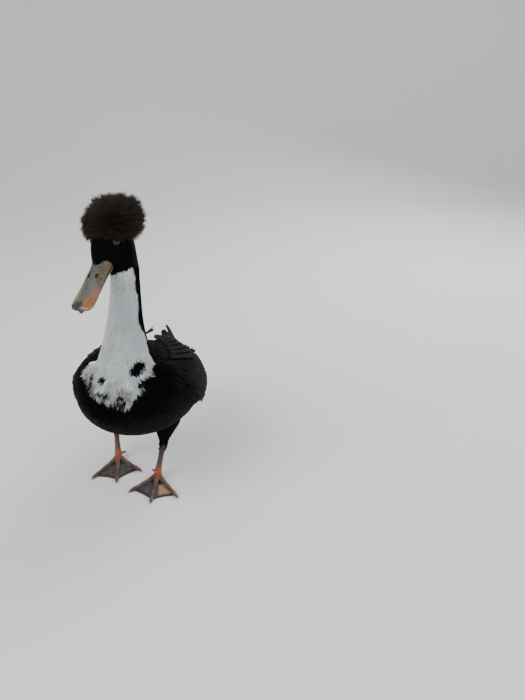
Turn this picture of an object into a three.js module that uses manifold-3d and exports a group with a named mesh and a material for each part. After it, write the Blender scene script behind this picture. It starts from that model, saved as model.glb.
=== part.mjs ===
// A crested duck, standing with its head turned and lowered, at life size.
// Millimetres, +Z up. The duck faces -Y, its left side is +X, and its soles stand on Z = 0.
import * as THREE from "three";
import { mergeVertices } from "three/addons/utils/BufferGeometryUtils.js";
import Module from "manifold-3d";

const wasm = await Module();
wasm.setup();

// Driving dimensions
const TOUCH = 0.3; // gap left between parts that meet
const BODY = { length: 300, width: 184, height: 150, middle: [19, -14, 162], slope: 13 };
const HEAD = { length: 68, width: 50, height: 50 };
const BILL = { length: 76, width: 34, height: 20 };
const EYE = { radius: 5.6, forward: -1, side: 16, up: 12 };
const CREST = { width: 86, depth: 80, height: 72, locks: 58, lockWidth: 10.5 };
const WING = { cover: 7 };
const TAIL = { length: 86, feathers: 9, spread: 34, base: 27 };
const TOE = { middle: 68, outer: 65, inner: 54, radius: 4.3, claw: 7.5 };
const SHANK = { radius: 4.8 };
const FOOT_PLACES = { right: [-39, 27], left: [40, -27] }; // toe joints over the floor
const FOOT_TURNS = { right: 11, left: 2 }; // degrees that the middle toe turns towards +X
const HOCK_SHIFTS = { right: -2, left: 9 }; // how far each hock stands to +X of its toe joint
const HEAD_PLACE = [8, -107, 406];
const HEAD_TURN = 12; // degrees towards the duck's right
const HEAD_DROP = 30; // degrees below level
const HEAD_TILT = 5; // degrees that the crown leans towards the duck's right
const BILL_DROP = 1; // degrees below the line of the skull

const DARK = new THREE.Color(0.035, 0.03, 0.03);
const X_AXIS = new THREE.Vector3(1, 0, 0);
const Z_AXIS = new THREE.Vector3(0, 0, 1);
const { sin, cos, PI, abs, sqrt, hypot } = Math;
const radians = THREE.MathUtils.degToRad;
const mix = THREE.MathUtils.lerp;
const vector = (...numbers) => new THREE.Vector3(...numbers);

// Seeded draws, so that the crest and feathers come out the same each time
function seededDraw(seed) {
  let state = seed;
  return () => {
    state = (state * 1664525 + 1013904223) % 4294967296;
    return state / 4294967296;
  };
}

// Solids from geometries, and back
function bare(geometry) {
  const copy = geometry.clone();
  copy.deleteAttribute("normal");
  copy.deleteAttribute("uv");
  return mergeVertices(copy, 1e-3);
}

function solid(geometry) {
  const closed = bare(geometry);
  const triVerts = new Uint32Array(closed.index.array);
  const make = () =>
    new wasm.Manifold(
      new wasm.Mesh({ numProp: 3, vertProperties: closed.attributes.position.array, triVerts }),
    );
  const made = make();
  if (made.volume() > 0) return made;
  for (let i = 0; i < triVerts.length; i += 3) {
    [triVerts[i + 1], triVerts[i + 2]] = [triVerts[i + 2], triVerts[i + 1]];
  }
  return make();
}

// The same form with its surface moved out, used to cut a neighbour clear of it
function clearOf(geometry, distance = TOUCH) {
  const wide = bare(geometry);
  wide.computeVertexNormals();
  const place = wide.getAttribute("position");
  const normal = wide.getAttribute("normal");
  const outward = signedVolume(wide) > 0 ? 1 : -1;
  for (let i = 0; i < place.count; i++) {
    place.setXYZ(
      i,
      place.getX(i) + normal.getX(i) * distance * outward,
      place.getY(i) + normal.getY(i) * distance * outward,
      place.getZ(i) + normal.getZ(i) * distance * outward,
    );
  }
  return solid(wide);
}

function signedVolume(geometry) {
  const place = geometry.getAttribute("position");
  const corner = (i) => vector().fromBufferAttribute(place, geometry.index.getX(i));
  let total = 0;
  for (let i = 0; i < geometry.index.count; i += 3) {
    total += corner(i).dot(corner(i + 1).cross(corner(i + 2)));
  }
  return total;
}

const joined = (solids) => solids.reduce((whole, piece) => whole.add(piece));

function largest(made) {
  const pieces = made.decompose();
  return pieces.reduce((best, piece) => (piece.volume() > best.volume() ? piece : best));
}

// A slab used for flat cuts: everything on the far side of a plane
function beyond(point, direction) {
  const reach = 600;
  const slab = new THREE.BoxGeometry(reach, reach, reach);
  const turn = new THREE.Quaternion().setFromUnitVectors(Z_AXIS, direction.clone().normalize());
  slab.translate(0, 0, reach / 2);
  slab.applyQuaternion(turn);
  slab.translate(point.x, point.y, point.z);
  return solid(slab);
}

const duck = new THREE.Group();

function addPart(name, made, color, roughness = 0.8) {
  const mesh = largest(made).getMesh();
  const geometry = new THREE.BufferGeometry();
  geometry.setAttribute("position", new THREE.BufferAttribute(new Float32Array(mesh.vertProperties), 3));
  geometry.setIndex(new THREE.BufferAttribute(new Uint32Array(mesh.triVerts), 1));
  geometry.computeVertexNormals();
  const material = new THREE.MeshStandardMaterial({ color, roughness, metalness: 0 });
  const part = new THREE.Mesh(geometry, material);
  part.name = name;
  duck.add(part);
}

// A rounded form along a path. Each station is [x, y, z, half width, half size up, half size down],
// and the two end stations are the poles. Up is square to the path and to the side axis.
class Form {
  constructor(stations, { side = X_AXIS, open = false } = {}) {
    const last = stations.length - 1;
    const bulge = (i) => (open ? 1 : 2 * sqrt((i / last) * (1 - i / last)));
    const sizes = stations.map((s, i) => {
      const from = open ? i : Math.min(Math.max(i, 1), last - 1);
      const [, , , wide, up, down] = stations[from];
      return vector(wide, up, down).divideScalar(bulge(from));
    });
    const points = stations.map(([x, y, z]) => vector(x, y, z));
    this.path = new THREE.CatmullRomCurve3(points, false, "catmullrom", 0.5);
    this.sizes = new THREE.CatmullRomCurve3(sizes, false, "catmullrom", 0.5);
    this.side = side;
    this.open = open;
  }

  axes(t) {
    const along = this.path.getTangent(t);
    const left = this.side.clone().addScaledVector(along, -this.side.dot(along)).normalize();
    const up = left.clone().cross(along).normalize();
    return { along, left, up };
  }

  // The surface point at share t of the path, at an angle from the left side towards up
  point(t, turn, lift = 0) {
    const { left, up } = this.axes(t);
    const size = this.sizes.getPoint(t);
    const share = this.open ? 1 : 2 * sqrt(Math.max(t * (1 - t), 0));
    const wide = size.x * share + lift;
    const tall = (sin(turn) >= 0 ? size.y : size.z) * share + lift;
    return this.path
      .getPoint(t)
      .addScaledVector(left, wide * cos(turn))
      .addScaledVector(up, tall * sin(turn));
  }

  geometry(around, along) {
    const ball = new THREE.SphereGeometry(1, around, along);
    const place = ball.getAttribute("position");
    for (let i = 0; i < place.count; i++) {
      const polar = Math.acos(THREE.MathUtils.clamp(place.getY(i), -1, 1));
      const turn = Math.atan2(place.getZ(i), place.getX(i));
      const point = this.point((1 - cos(polar)) / 2, turn);
      place.setXYZ(i, point.x, point.y, point.z);
    }
    return ball;
  }
}

// A closed skin over rings of like points. The two halves of each ring are split alike,
// so that a thin bent vane keeps its faces apart.
function skin(rings) {
  const sides = rings[0].length;
  const places = rings.flat();
  const faces = [];
  for (let i = 0; i + 1 < rings.length; i++) {
    for (let j = 0; j < sides; j++) {
      const next = (j + 1) % sides;
      const [a, b, c, d] = [i * sides + j, i * sides + next, (i + 1) * sides + next, (i + 1) * sides + j];
      if (j < sides / 2) faces.push(a, b, c, a, c, d);
      else faces.push(a, b, d, b, c, d);
    }
  }
  const end = (rings.length - 1) * sides;
  for (let j = 0; j < sides / 2 - 1; j++) {
    const far = sides - 1 - j;
    faces.push(j, far, j + 1, j + 1, far, far - 1);
    faces.push(end + j, end + j + 1, end + far, end + j + 1, end + far - 1, end + far);
  }
  const geometry = new THREE.BufferGeometry().setFromPoints(places);
  geometry.setIndex(faces);
  return geometry;
}

// A flat, tapered feather: a spine of points, the way its width lies at each, and its sizes.
// Widths are shares of the whole width at each stop along the spine.
const VANE_WIDTHS = [0.6, 1, 0.86, 0.2];
const VANE_STOPS = [0, 0.4, 0.82, 1];

function vane(spineAt, acrossAt, width, thickness, widths = VANE_WIDTHS, stops = VANE_STOPS) {
  const rings = stops.map((s, i) => {
    const centre = spineAt(s);
    const ahead = spineAt(Math.min(s + 0.02, 1)).sub(spineAt(Math.max(s - 0.02, 0))).normalize();
    const across = acrossAt(s);
    across.addScaledVector(ahead, -across.dot(ahead)).normalize();
    const up = across.clone().cross(ahead).normalize();
    const half = (width / 2) * widths[i];
    const thin = (thickness / 2) * mix(1, 0.6, s);
    const corner = (side, rise) => centre.clone().addScaledVector(across, side).addScaledVector(up, rise);
    return [corner(-half, -thin), corner(half, -thin), corner(half, thin), corner(-half, thin)];
  });
  return solid(skin(rings));
}

// Torso: breast, back, belly and rump in one rounded form, the breast carried higher than the rump
const bodyFrame = new THREE.Matrix4().compose(
  vector(...BODY.middle),
  new THREE.Quaternion().setFromAxisAngle(X_AXIS, -radians(BODY.slope)),
  vector(1, 1, 1),
);
const inBody = (x, y, z) => vector(x, y, z).applyMatrix4(bodyFrame);
const bodyBack = inBody(0, 1, 0).sub(inBody(0, 0, 0));
// Shares of the body's length, rise in mm, then shares of its half width, and of its height up and down
const BODY_PROFILE = [
  [-0.5, 2, 0, 0, 0],
  [-0.42, 2, 0.58, 0.29, 0.28],
  [-0.27, 0, 0.88, 0.42, 0.405],
  [-0.1, 0, 1, 0.49, 0.46],
  [0.07, 0, 1, 0.48, 0.465],
  [0.24, 4, 0.88, 0.4, 0.41],
  [0.38, 11, 0.66, 0.29, 0.31],
  [0.46, 16, 0.46, 0.19, 0.21],
  [0.5, 18, 0, 0, 0],
];

// Rows of shares along the body turned into stations in the body's frame
function bodyStations(rows) {
  return rows.map(([along, rise, wide, up, down]) => {
    const at = inBody(0, along * BODY.length, rise);
    return [at.x, at.y, at.z, (wide * BODY.width) / 2, up * BODY.height, down * BODY.height];
  });
}

const torsoForm = new Form(bodyStations(BODY_PROFILE));
const torsoShape = torsoForm.geometry(24, 18);
const torsoClear = clearOf(torsoShape);
const RUMP = BODY.length * 0.44;
addPart("torso", solid(torsoShape).subtract(beyond(inBody(0, RUMP, 0), bodyBack)), DARK);

// Head and bill share the frame of the turned and lowered head
const headFrame = new THREE.Matrix4().compose(
  vector(...HEAD_PLACE),
  new THREE.Quaternion().setFromEuler(
    new THREE.Euler(radians(HEAD_DROP), radians(-HEAD_TILT), radians(-HEAD_TURN), "ZXY"),
  ),
  vector(1, 1, 1),
);
const inHead = (x, y, z) => vector(x, y, z).applyMatrix4(headFrame);
const headLeft = inHead(1, 0, 0).sub(inHead(0, 0, 0));

// Each row: share of the skull's length from the middle (front is negative), rise, half sizes in mm
const headForm = new Form(
  [
    [-0.56, -3, 0, 0, 0],
    [-0.46, -2.5, 8.5, 13.5, 14],
    [-0.32, -1, 15, 15.5, 21],
    [-0.1, 0, 21.5, 23, 26],
    [0.12, 0, HEAD.width / 2, HEAD.height / 2, HEAD.height / 2 + 1],
    [0.38, -3, 22, 21, 22],
    [0.58, -6, 0, 0, 0],
  ].map(([along, rise, wide, up, down]) => {
    const at = inHead(0, along * HEAD.length, rise);
    return [at.x, at.y, at.z, wide, up, down];
  }),
  { side: headLeft },
);
const headShape = headForm.geometry(20, 16);
const headClear = clearOf(headShape);

// Neck: a wide base on the breast that narrows to the throat, with its crown inside the head.
// Each station is its middle, then its half width, its depth in front and its depth behind.
const neckForm = new Form([
  [17, -66, 158, 0, 0, 0],
  [17, -80, 192, 57, 62, 56],
  [17, -86, 218, 49, 53, 50],
  [17, -88, 242, 40, 41, 42],
  [18.5, -89, 266, 32.5, 31, 34],
  [21, -92, 298, 26.5, 26, 27],
  [25, -96, 336, 22.5, 22, 22.5],
  [27, -98, 370, 20.7, 20, 21.5],
  [26, -99, 391, 20, 16, 22],
  [22.5, -97, 411, 19.5, 12, 22.5],
  [19, -95, 431, 0, 0, 0],
]);
const neckShape = neckForm.geometry(20, 16);
const neckClear = clearOf(neckShape);
addPart("neck", solid(neckShape).subtract(torsoClear).subtract(headClear), new THREE.Color(0.72, 0.72, 0.7));

// Bill: the upper half spreads to a spoon over the lower half, and both run back under the face feathers
const billDrop = new THREE.Matrix4().makeRotationX(radians(BILL_DROP));
const billFrame = headFrame.clone().multiply(
  new THREE.Matrix4().makeTranslation(0, -HEAD.length * 0.43, -1.7).multiply(billDrop),
);
const inBill = (x, y, z) => vector(x, y, z).applyMatrix4(billFrame);

function billForm(rows) {
  return new Form(
    rows.map(([along, rise, wide, up, down]) => {
      const at = inBill(0, -along * BILL.length, rise);
      return [at.x, at.y, at.z, (wide * BILL.width) / 2, up * BILL.height, down * BILL.height];
    }),
    { side: headLeft.clone().negate() },
  );
}

// Rows from the root to the tip: place, rise of the tomium, half width, height of the culmen, depth below
const upperBill = billForm([
  [-0.22, -4.5, 0, 0, 0],
  [-0.12, -4.5, 0.88, 1.02, 0.16],
  [0.06, -4.5, 0.84, 0.78, 0.2],
  [0.28, -4.5, 0.84, 0.5, 0.17],
  [0.54, -4.5, 0.93, 0.3, 0.15],
  [0.78, -4.2, 1, 0.21, 0.13],
  [0.94, -4, 0.86, 0.15, 0.14],
  [1, -4.6, 0, 0, 0],
]);
const lowerBill = billForm([
  [-0.2, -7.5, 0, 0, 0],
  [-0.1, -7.8, 0.74, 0.1, 0.44],
  [0.14, -7.9, 0.74, 0.1, 0.34],
  [0.5, -7.6, 0.8, 0.1, 0.22],
  [0.8, -7.2, 0.84, 0.1, 0.14],
  [0.93, -7, 0.66, 0.1, 0.12],
  [0.97, -7, 0, 0, 0],
]);
const upperBillShape = upperBill.geometry(20, 14);
const lowerBillShape = lowerBill.geometry(16, 12);
const mouthPlane = (rise) => beyond(inBill(0, 0, rise), inBill(0, 0, 1).sub(inBill(0, 0, 0)));
const MOUTH_RISE = -7.2;

// The horn nail at the tip, cut from the bill by a thin ring
function nailShape(grow) {
  const nail = new THREE.SphereGeometry(1, 12, 8);
  nail.scale(4.8 + grow, 6.2 + grow, 3.4 + grow);
  nail.translate(0, -BILL.length * 0.94, -3.9);
  nail.applyMatrix4(billFrame);
  return nail;
}

function nostril(side) {
  const pit = new THREE.SphereGeometry(1, 8, 6);
  pit.scale(1.6, 3.6, 1.5);
  pit.rotateY(side * 0.9);
  pit.translate(side * 5.6, -BILL.length * 0.28, 4.2);
  pit.applyMatrix4(billFrame);
  return solid(pit);
}

const upperBillSolid = solid(upperBillShape).intersect(mouthPlane(MOUTH_RISE)).subtract(headClear);
const nailBlank = solid(nailShape(0)).intersect(mouthPlane(MOUTH_RISE));
addPart(
  "bill_upper",
  upperBillSolid.subtract(solid(nailShape(TOUCH))).subtract(nostril(1)).subtract(nostril(-1)),
  new THREE.Color(0.42, 0.42, 0.24),
  0.5,
);
addPart("bill_nail", nailBlank.subtract(lowerBillClear()), new THREE.Color(0.03, 0.03, 0.03), 0.4);
addPart(
  "bill_lower",
  solid(lowerBillShape).subtract(mouthPlane(MOUTH_RISE - TOUCH)).subtract(headClear).subtract(neckClear),
  new THREE.Color(0.55, 0.38, 0.2),
  0.5,
);

function lowerBillClear() {
  return clearOf(lowerBillShape);
}

// Eyes set into sockets, each within a raised ring of lid
const EYE_COLOR = new THREE.Color(0.02, 0.015, 0.012);

function eyeBall(side, grow) {
  const ball = new THREE.SphereGeometry(EYE.radius + grow, 12, 8);
  ball.rotateZ(PI / 2);
  ball.translate(side * EYE.side, -EYE.forward, EYE.up);
  ball.applyMatrix4(headFrame);
  return solid(ball);
}

function eyeLid(side) {
  const ring = new THREE.TorusGeometry(4.9, 1.4, 5, 12);
  ring.scale(1.16, 0.92, 1);
  ring.rotateY(PI / 2);
  ring.rotateZ(side * -0.2);
  ring.rotateY(side * -0.42);
  ring.translate(side * (EYE.side + 2.4), -EYE.forward - 0.4, EYE.up + 0.8);
  ring.applyMatrix4(headFrame);
  return solid(ring);
}

const headSolid = joined([solid(headShape), eyeLid(1), eyeLid(-1)])
  .subtract(eyeBall(1, TOUCH))
  .subtract(eyeBall(-1, TOUCH));
addPart("head", headSolid, DARK);
addPart("eye_left", eyeBall(1, 0), EYE_COLOR, 0.1);
addPart("eye_right", eyeBall(-1, 0), EYE_COLOR, 0.1);

function eyeSpace(side) {
  const ball = new THREE.SphereGeometry(EYE.radius + 3, 10, 8);
  ball.translate(side * EYE.side, -EYE.forward, EYE.up);
  ball.applyMatrix4(headFrame);
  return solid(ball);
}

// Crest: a round puff of soft feathers standing out all ways from the back of the crown.
// Its core reaches less than half way to the tips.
const crestMiddle = [3, HEAD.length * 0.51, HEAD.height * 0.38];
const CREST_CORE = 0.46;

function crestLock(index, draw) {
  const golden = PI * (3 - sqrt(5));
  const turn = golden * index;
  // The locks hang lowest at the sides and back, and leave the face clear
  const lowest = -0.8 + 0.95 * Math.max(0, -sin(turn));
  const rise = mix(1, lowest, (index + 0.5) / CREST.locks);
  const ring = sqrt(1 - rise * rise);
  const out = vector(ring * cos(turn), ring * sin(turn), rise);
  // A little fuller than an ellipsoid between its axes
  const full = (abs(out.x) ** 2.8 + abs(out.y) ** 2.8 + abs(out.z) ** 2.8) ** (-1 / 2.8);
  const reach = vector(CREST.width / 2, CREST.depth / 2, CREST.height / 2)
    .multiplyScalar(full * mix(0.91, 1.01, draw()));
  const tip = out.clone().multiply(reach);
  const sway = vector(draw() - 0.5, draw() - 0.5, draw() - 0.7).multiplyScalar(9);
  const across = out.clone().cross(vector(draw() - 0.5, draw() - 0.5, draw() - 0.5)).normalize();
  const spine = (s) =>
    inHead(...tip.clone().multiplyScalar(mix(0.28, 1, s)).addScaledVector(sway, s * s * 0.7).toArray()
      .map((value, axis) => value + crestMiddle[axis]));
  const wide = () => across.clone().transformDirection(headFrame);
  return vane(spine, wide, CREST.lockWidth, 1.5, [0.3, 0.85, 1, 0.24], [0, 0.42, 0.76, 1]);
}

const crestCore = new THREE.SphereGeometry(1, 14, 10);
crestCore.scale(
  (CREST.width / 2) * CREST_CORE,
  (CREST.depth / 2) * CREST_CORE,
  (CREST.height / 2) * CREST_CORE,
);
crestCore.translate(...crestMiddle);
crestCore.applyMatrix4(headFrame);
const crestDraw = seededDraw(11);
const crestLocks = Array.from({ length: CREST.locks }, (_, i) => crestLock(i, crestDraw));
addPart(
  "crest",
  joined([solid(crestCore), ...crestLocks])
    .subtract(headClear)
    .subtract(neckClear)
    .subtract(eyeSpace(1))
    .subtract(eyeSpace(-1)),
  new THREE.Color(0.06, 0.05, 0.045),
);

// Tail: a short root on the rump, with a fan of stiff feathers and shorter coverts over and under it
const tailShape = new Form(
  [
    [RUMP - 20, 15, 0, 0, 0],
    [RUMP, 15, 1.5, 1.04, 1.26],
    [RUMP + 20, 17, 1.2, 0.75, 0.85],
    [RUMP + 38, 20, 0.8, 0.3, 0.35],
    [RUMP + 50, 23, 0, 0, 0],
  ].map(([along, rise, ...sizes]) => {
    const at = inBody(0, along, rise);
    return [at.x, at.y, at.z, ...sizes.map((size) => size * TAIL.base)];
  }),
).geometry(16, 10);
const tailCut = beyond(inBody(0, RUMP + TOUCH, 0), bodyBack.clone().negate());

// A row of fanned feathers. Side is -1 to 1 across the row.
function tailFeather(side, { length, width, spread, start, rise, lift, droop }) {
  const yaw = radians(spread) * side;
  const out = vector(sin(yaw), cos(yaw), 0);
  const root = vector(side * 14, RUMP + start, rise - abs(side) * droop);
  const reach = length * (1 - 0.2 * side * side);
  const spine = (s) => {
    const at = root.clone().addScaledVector(out, reach * s);
    return inBody(at.x, at.y, at.z + lift * s - abs(side) * droop * s * 0.5);
  };
  const across = () => vector(cos(yaw), -sin(yaw), -0.13 * side).transformDirection(bodyFrame);
  return vane(spine, across, width, 1.3);
}

function tailRow(count, sizes) {
  return Array.from({ length: count }, (_, i) => tailFeather(mix(-1, 1, i / (count - 1)), sizes));
}

const tailSolid = joined([
  solid(tailShape),
  ...tailRow(TAIL.feathers, {
    length: TAIL.length, width: 21, spread: TAIL.spread, start: 20, rise: 19, lift: 20, droop: 9,
  }),
  ...tailRow(3, { length: 46, width: 27, spread: 19, start: 12, rise: 29, lift: 8, droop: 11 }),
  ...tailRow(3, { length: 52, width: 26, spread: 17, start: 12, rise: 2, lift: 16, droop: -6 }),
]).subtract(tailCut);
const tailClear = clearOf(tailShape, 0.6);
addPart("tail", tailSolid, DARK);

// Wings, folded: each lies over the flank from the shoulder to the rump.
// The cover form carries on level past the rump, where the wing tips stand clear of the tail.
const wingForm = new Form(
  bodyStations([
    [-0.34, 10, 0.78, 0.37, 0.38],
    [-0.2, 6, 1, 0.45, 0.5],
    [-0.04, 2, 1.08, 0.5, 0.55],
    [0.12, 1, 1.07, 0.5, 0.55],
    [0.28, 10, 0.9, 0.43, 0.5],
    [0.42, 28, 0.54, 0.31, 0.34],
    [0.52, 46, 0.3, 0.22, 0.2],
    [0.6, 60, 0.15, 0.16, 0.1],
  ]),
  { open: true },
);

// A padded cover over the folded arm, thin at its rim
function wingCover(side) {
  const steps = 7;
  const across = 5;
  const rings = Array.from({ length: steps + 1 }, (_, i) => {
    const share = i / steps;
    const t = mix(0.02, 0.66, share);
    const low = mix(2, -30, sin(PI * share) ** 0.7) + share * 30;
    const high = mix(50, 78, sin((PI * share) / 1.3));
    const swell = WING.cover * (0.25 + 0.75 * sqrt(sin(PI * mix(0.06, 0.94, share))));
    const row = (lift) =>
      Array.from({ length: across }, (_, j) => {
        const u = j / (across - 1);
        const turn = radians(mix(low, high, u));
        const mirrored = side > 0 ? turn : PI - turn;
        return wingForm.point(t, mirrored, lift(sin(PI * mix(0.05, 0.95, u))));
      });
    const outer = row((bulge) => -5 + swell * sqrt(bulge));
    const inner = row(() => -9);
    return [...outer, ...inner.reverse()];
  });
  return solid(skin(rings));
}

// One wing feather laid on the cover form, from a root place to a tip place, each [t, degrees, lift]
function wingFeather(side, root, tip, width, roll, thickness = 1.3) {
  const turnAt = (degrees) => (side > 0 ? radians(degrees) : PI - radians(degrees));
  const spine = (s) =>
    wingForm.point(mix(root[0], tip[0], s), turnAt(mix(root[1], tip[1], s)), mix(root[2], tip[2], sqrt(s)));
  const across = (s) => {
    const t = mix(root[0], tip[0], s);
    const degrees = mix(root[1], tip[1], s);
    const higher = wingForm.point(t, turnAt(degrees + 3), 0);
    const out = wingForm.point(t, turnAt(degrees), 4).sub(wingForm.point(t, turnAt(degrees), 0));
    const rising = higher.sub(wingForm.point(t, turnAt(degrees), 0)).normalize();
    return rising.multiplyScalar(side).addScaledVector(out.normalize(), roll * side);
  };
  return vane(spine, across, width, thickness);
}

// Tiers of one wing: count, first and last root, first and last tip, width of each vane and its tilt
const WING_TIERS = [
  {
    count: 5, width: 13, roll: 0.1,
    root: [[0.6, 38, -4], [0.56, 27, -4.4]], tip: [[0.985, 66, 0.4], [0.84, 44, -0.8]],
  },
  {
    count: 6, width: 22, roll: 0.1,
    root: [[0.5, 22, -3], [0.18, 0, -3]], tip: [[0.79, 26, 0], [0.47, -24, 0.4]],
  },
  {
    count: 4, width: 19, roll: -0.1,
    root: [[0.46, 66, -3], [0.44, 36, -3]], tip: [[0.84, 71, 1.4], [0.76, 42, 0.6]],
  },
  {
    count: 4, width: 24, roll: 0.12,
    root: [[0.4, 28, -1], [0.12, 10, -1.4]], tip: [[0.6, 20, 2.4], [0.3, -6, 2.6]],
  },
  {
    count: 3, width: 26, roll: -0.08,
    root: [[0.34, 76, -2], [0.12, 56, -2]], tip: [[0.6, 75, 2.6], [0.35, 42, 3]],
  },
];

function wingFeathers(side) {
  return WING_TIERS.flatMap(({ count, root, tip, width, roll }) =>
    Array.from({ length: count }, (_, i) => {
      const share = i / (count - 1);
      const between = ([first, last]) => first.map((value, axis) => mix(value, last[axis], share));
      return wingFeather(side, between(root), between(tip), width, roll);
    }),
  );
}

for (const [name, side] of [["left", 1], ["right", -1]]) {
  const inward = beyond(inBody(side * 1.2, 0, 0), vector(-side, 0, 0));
  const made = joined([wingCover(side), ...wingFeathers(side)])
    .subtract(torsoClear)
    .subtract(neckClear)
    .subtract(tailClear)
    .subtract(inward);
  addPart(`wing_${name}`, made, DARK);
}

// Legs: feathered thigh, scaled shank, and a foot of three webbed toes with a small raised hind toe
const FOOT_HEIGHT = 13;
const HOCK_HEIGHT = 58;
const HOCK_BACK = 17; // the hock stands this far behind the toe joint
const floorCut = beyond(vector(0, 0, 0), vector(0, 0, -1));
const TOES = [
  { name: "inner", length: TOE.inner, turn: 42 },
  { name: "middle", length: TOE.middle, turn: 0 },
  { name: "outer", length: TOE.outer, turn: -35 },
];

function legPoint(joint, turn, x, y, z) {
  return vector(x, y, z).applyAxisAngle(Z_AXIS, radians(turn)).add(vector(joint[0], joint[1], 0));
}

function toeForm(place, length, heading) {
  const at = (along, z) => place(sin(heading) * along, -cos(heading) * along, z);
  const rows = [
    [-5, 9, 0],
    [0, 9, 1.15],
    [0.2, 6.2, 1],
    [0.42, 4.2, 0.82],
    [0.5, 3.9, 0.92],
    [0.74, 3, 0.72],
    [0.82, 3, 0.82],
    [1, 2.5, 0.6],
    [1.08, 2.3, 0],
  ];
  const side = place(cos(heading), sin(heading), 0).sub(place(0, 0, 0));
  return new Form(
    rows.map(([along, z, size]) => {
      const point = at(along < 0 ? along : along * length, z);
      return [point.x, point.y, point.z, size * TOE.radius, size * TOE.radius * 0.95, size * TOE.radius];
    }),
    { side },
  );
}

// The web between the toes, with a hollow front edge
function webShape(place, side) {
  const tip = (toe, share) => {
    const heading = radians(toe.turn * side);
    return [-sin(heading) * toe.length * share, -cos(heading) * toe.length * share];
  };
  const [inner, middle, outer] = TOES.map((toe) => tip(toe, 0.95));
  const hollow = (a, b) => [((a[0] + b[0]) / 2) * 0.9, ((a[1] + b[1]) / 2) * 0.9];
  const outline = new THREE.Shape();
  outline.moveTo(inner[0] * 0.1, 3);
  outline.lineTo(...inner);
  outline.quadraticCurveTo(...hollow(inner, middle), ...middle);
  outline.quadraticCurveTo(...hollow(middle, outer), ...outer);
  outline.lineTo(outer[0] * 0.1, 3);
  const web = new THREE.ExtrudeGeometry(outline, { depth: 1.3, bevelEnabled: false, curveSegments: 6 });
  const corner = web.getAttribute("position");
  for (let i = 0; i < corner.count; i++) {
    const point = place(corner.getX(i), corner.getY(i), corner.getZ(i));
    corner.setXYZ(i, point.x, point.y, point.z);
  }
  return web;
}

// A claw: a small curved cone, its root just clear of the toe's cut end
function claw(root, heading, dip) {
  const shape = new THREE.ConeGeometry(2.1, TOE.claw, 8, 4);
  shape.translate(0, TOE.claw / 2, 0);
  const corner = shape.getAttribute("position");
  for (let i = 0; i < corner.count; i++) {
    const along = corner.getY(i);
    corner.setZ(i, corner.getZ(i) - (along * along) / 34);
  }
  shape.rotateX(dip);
  shape.rotateZ(heading + PI);
  shape.translate(root.x, root.y, root.z);
  return solid(shape);
}

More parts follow.
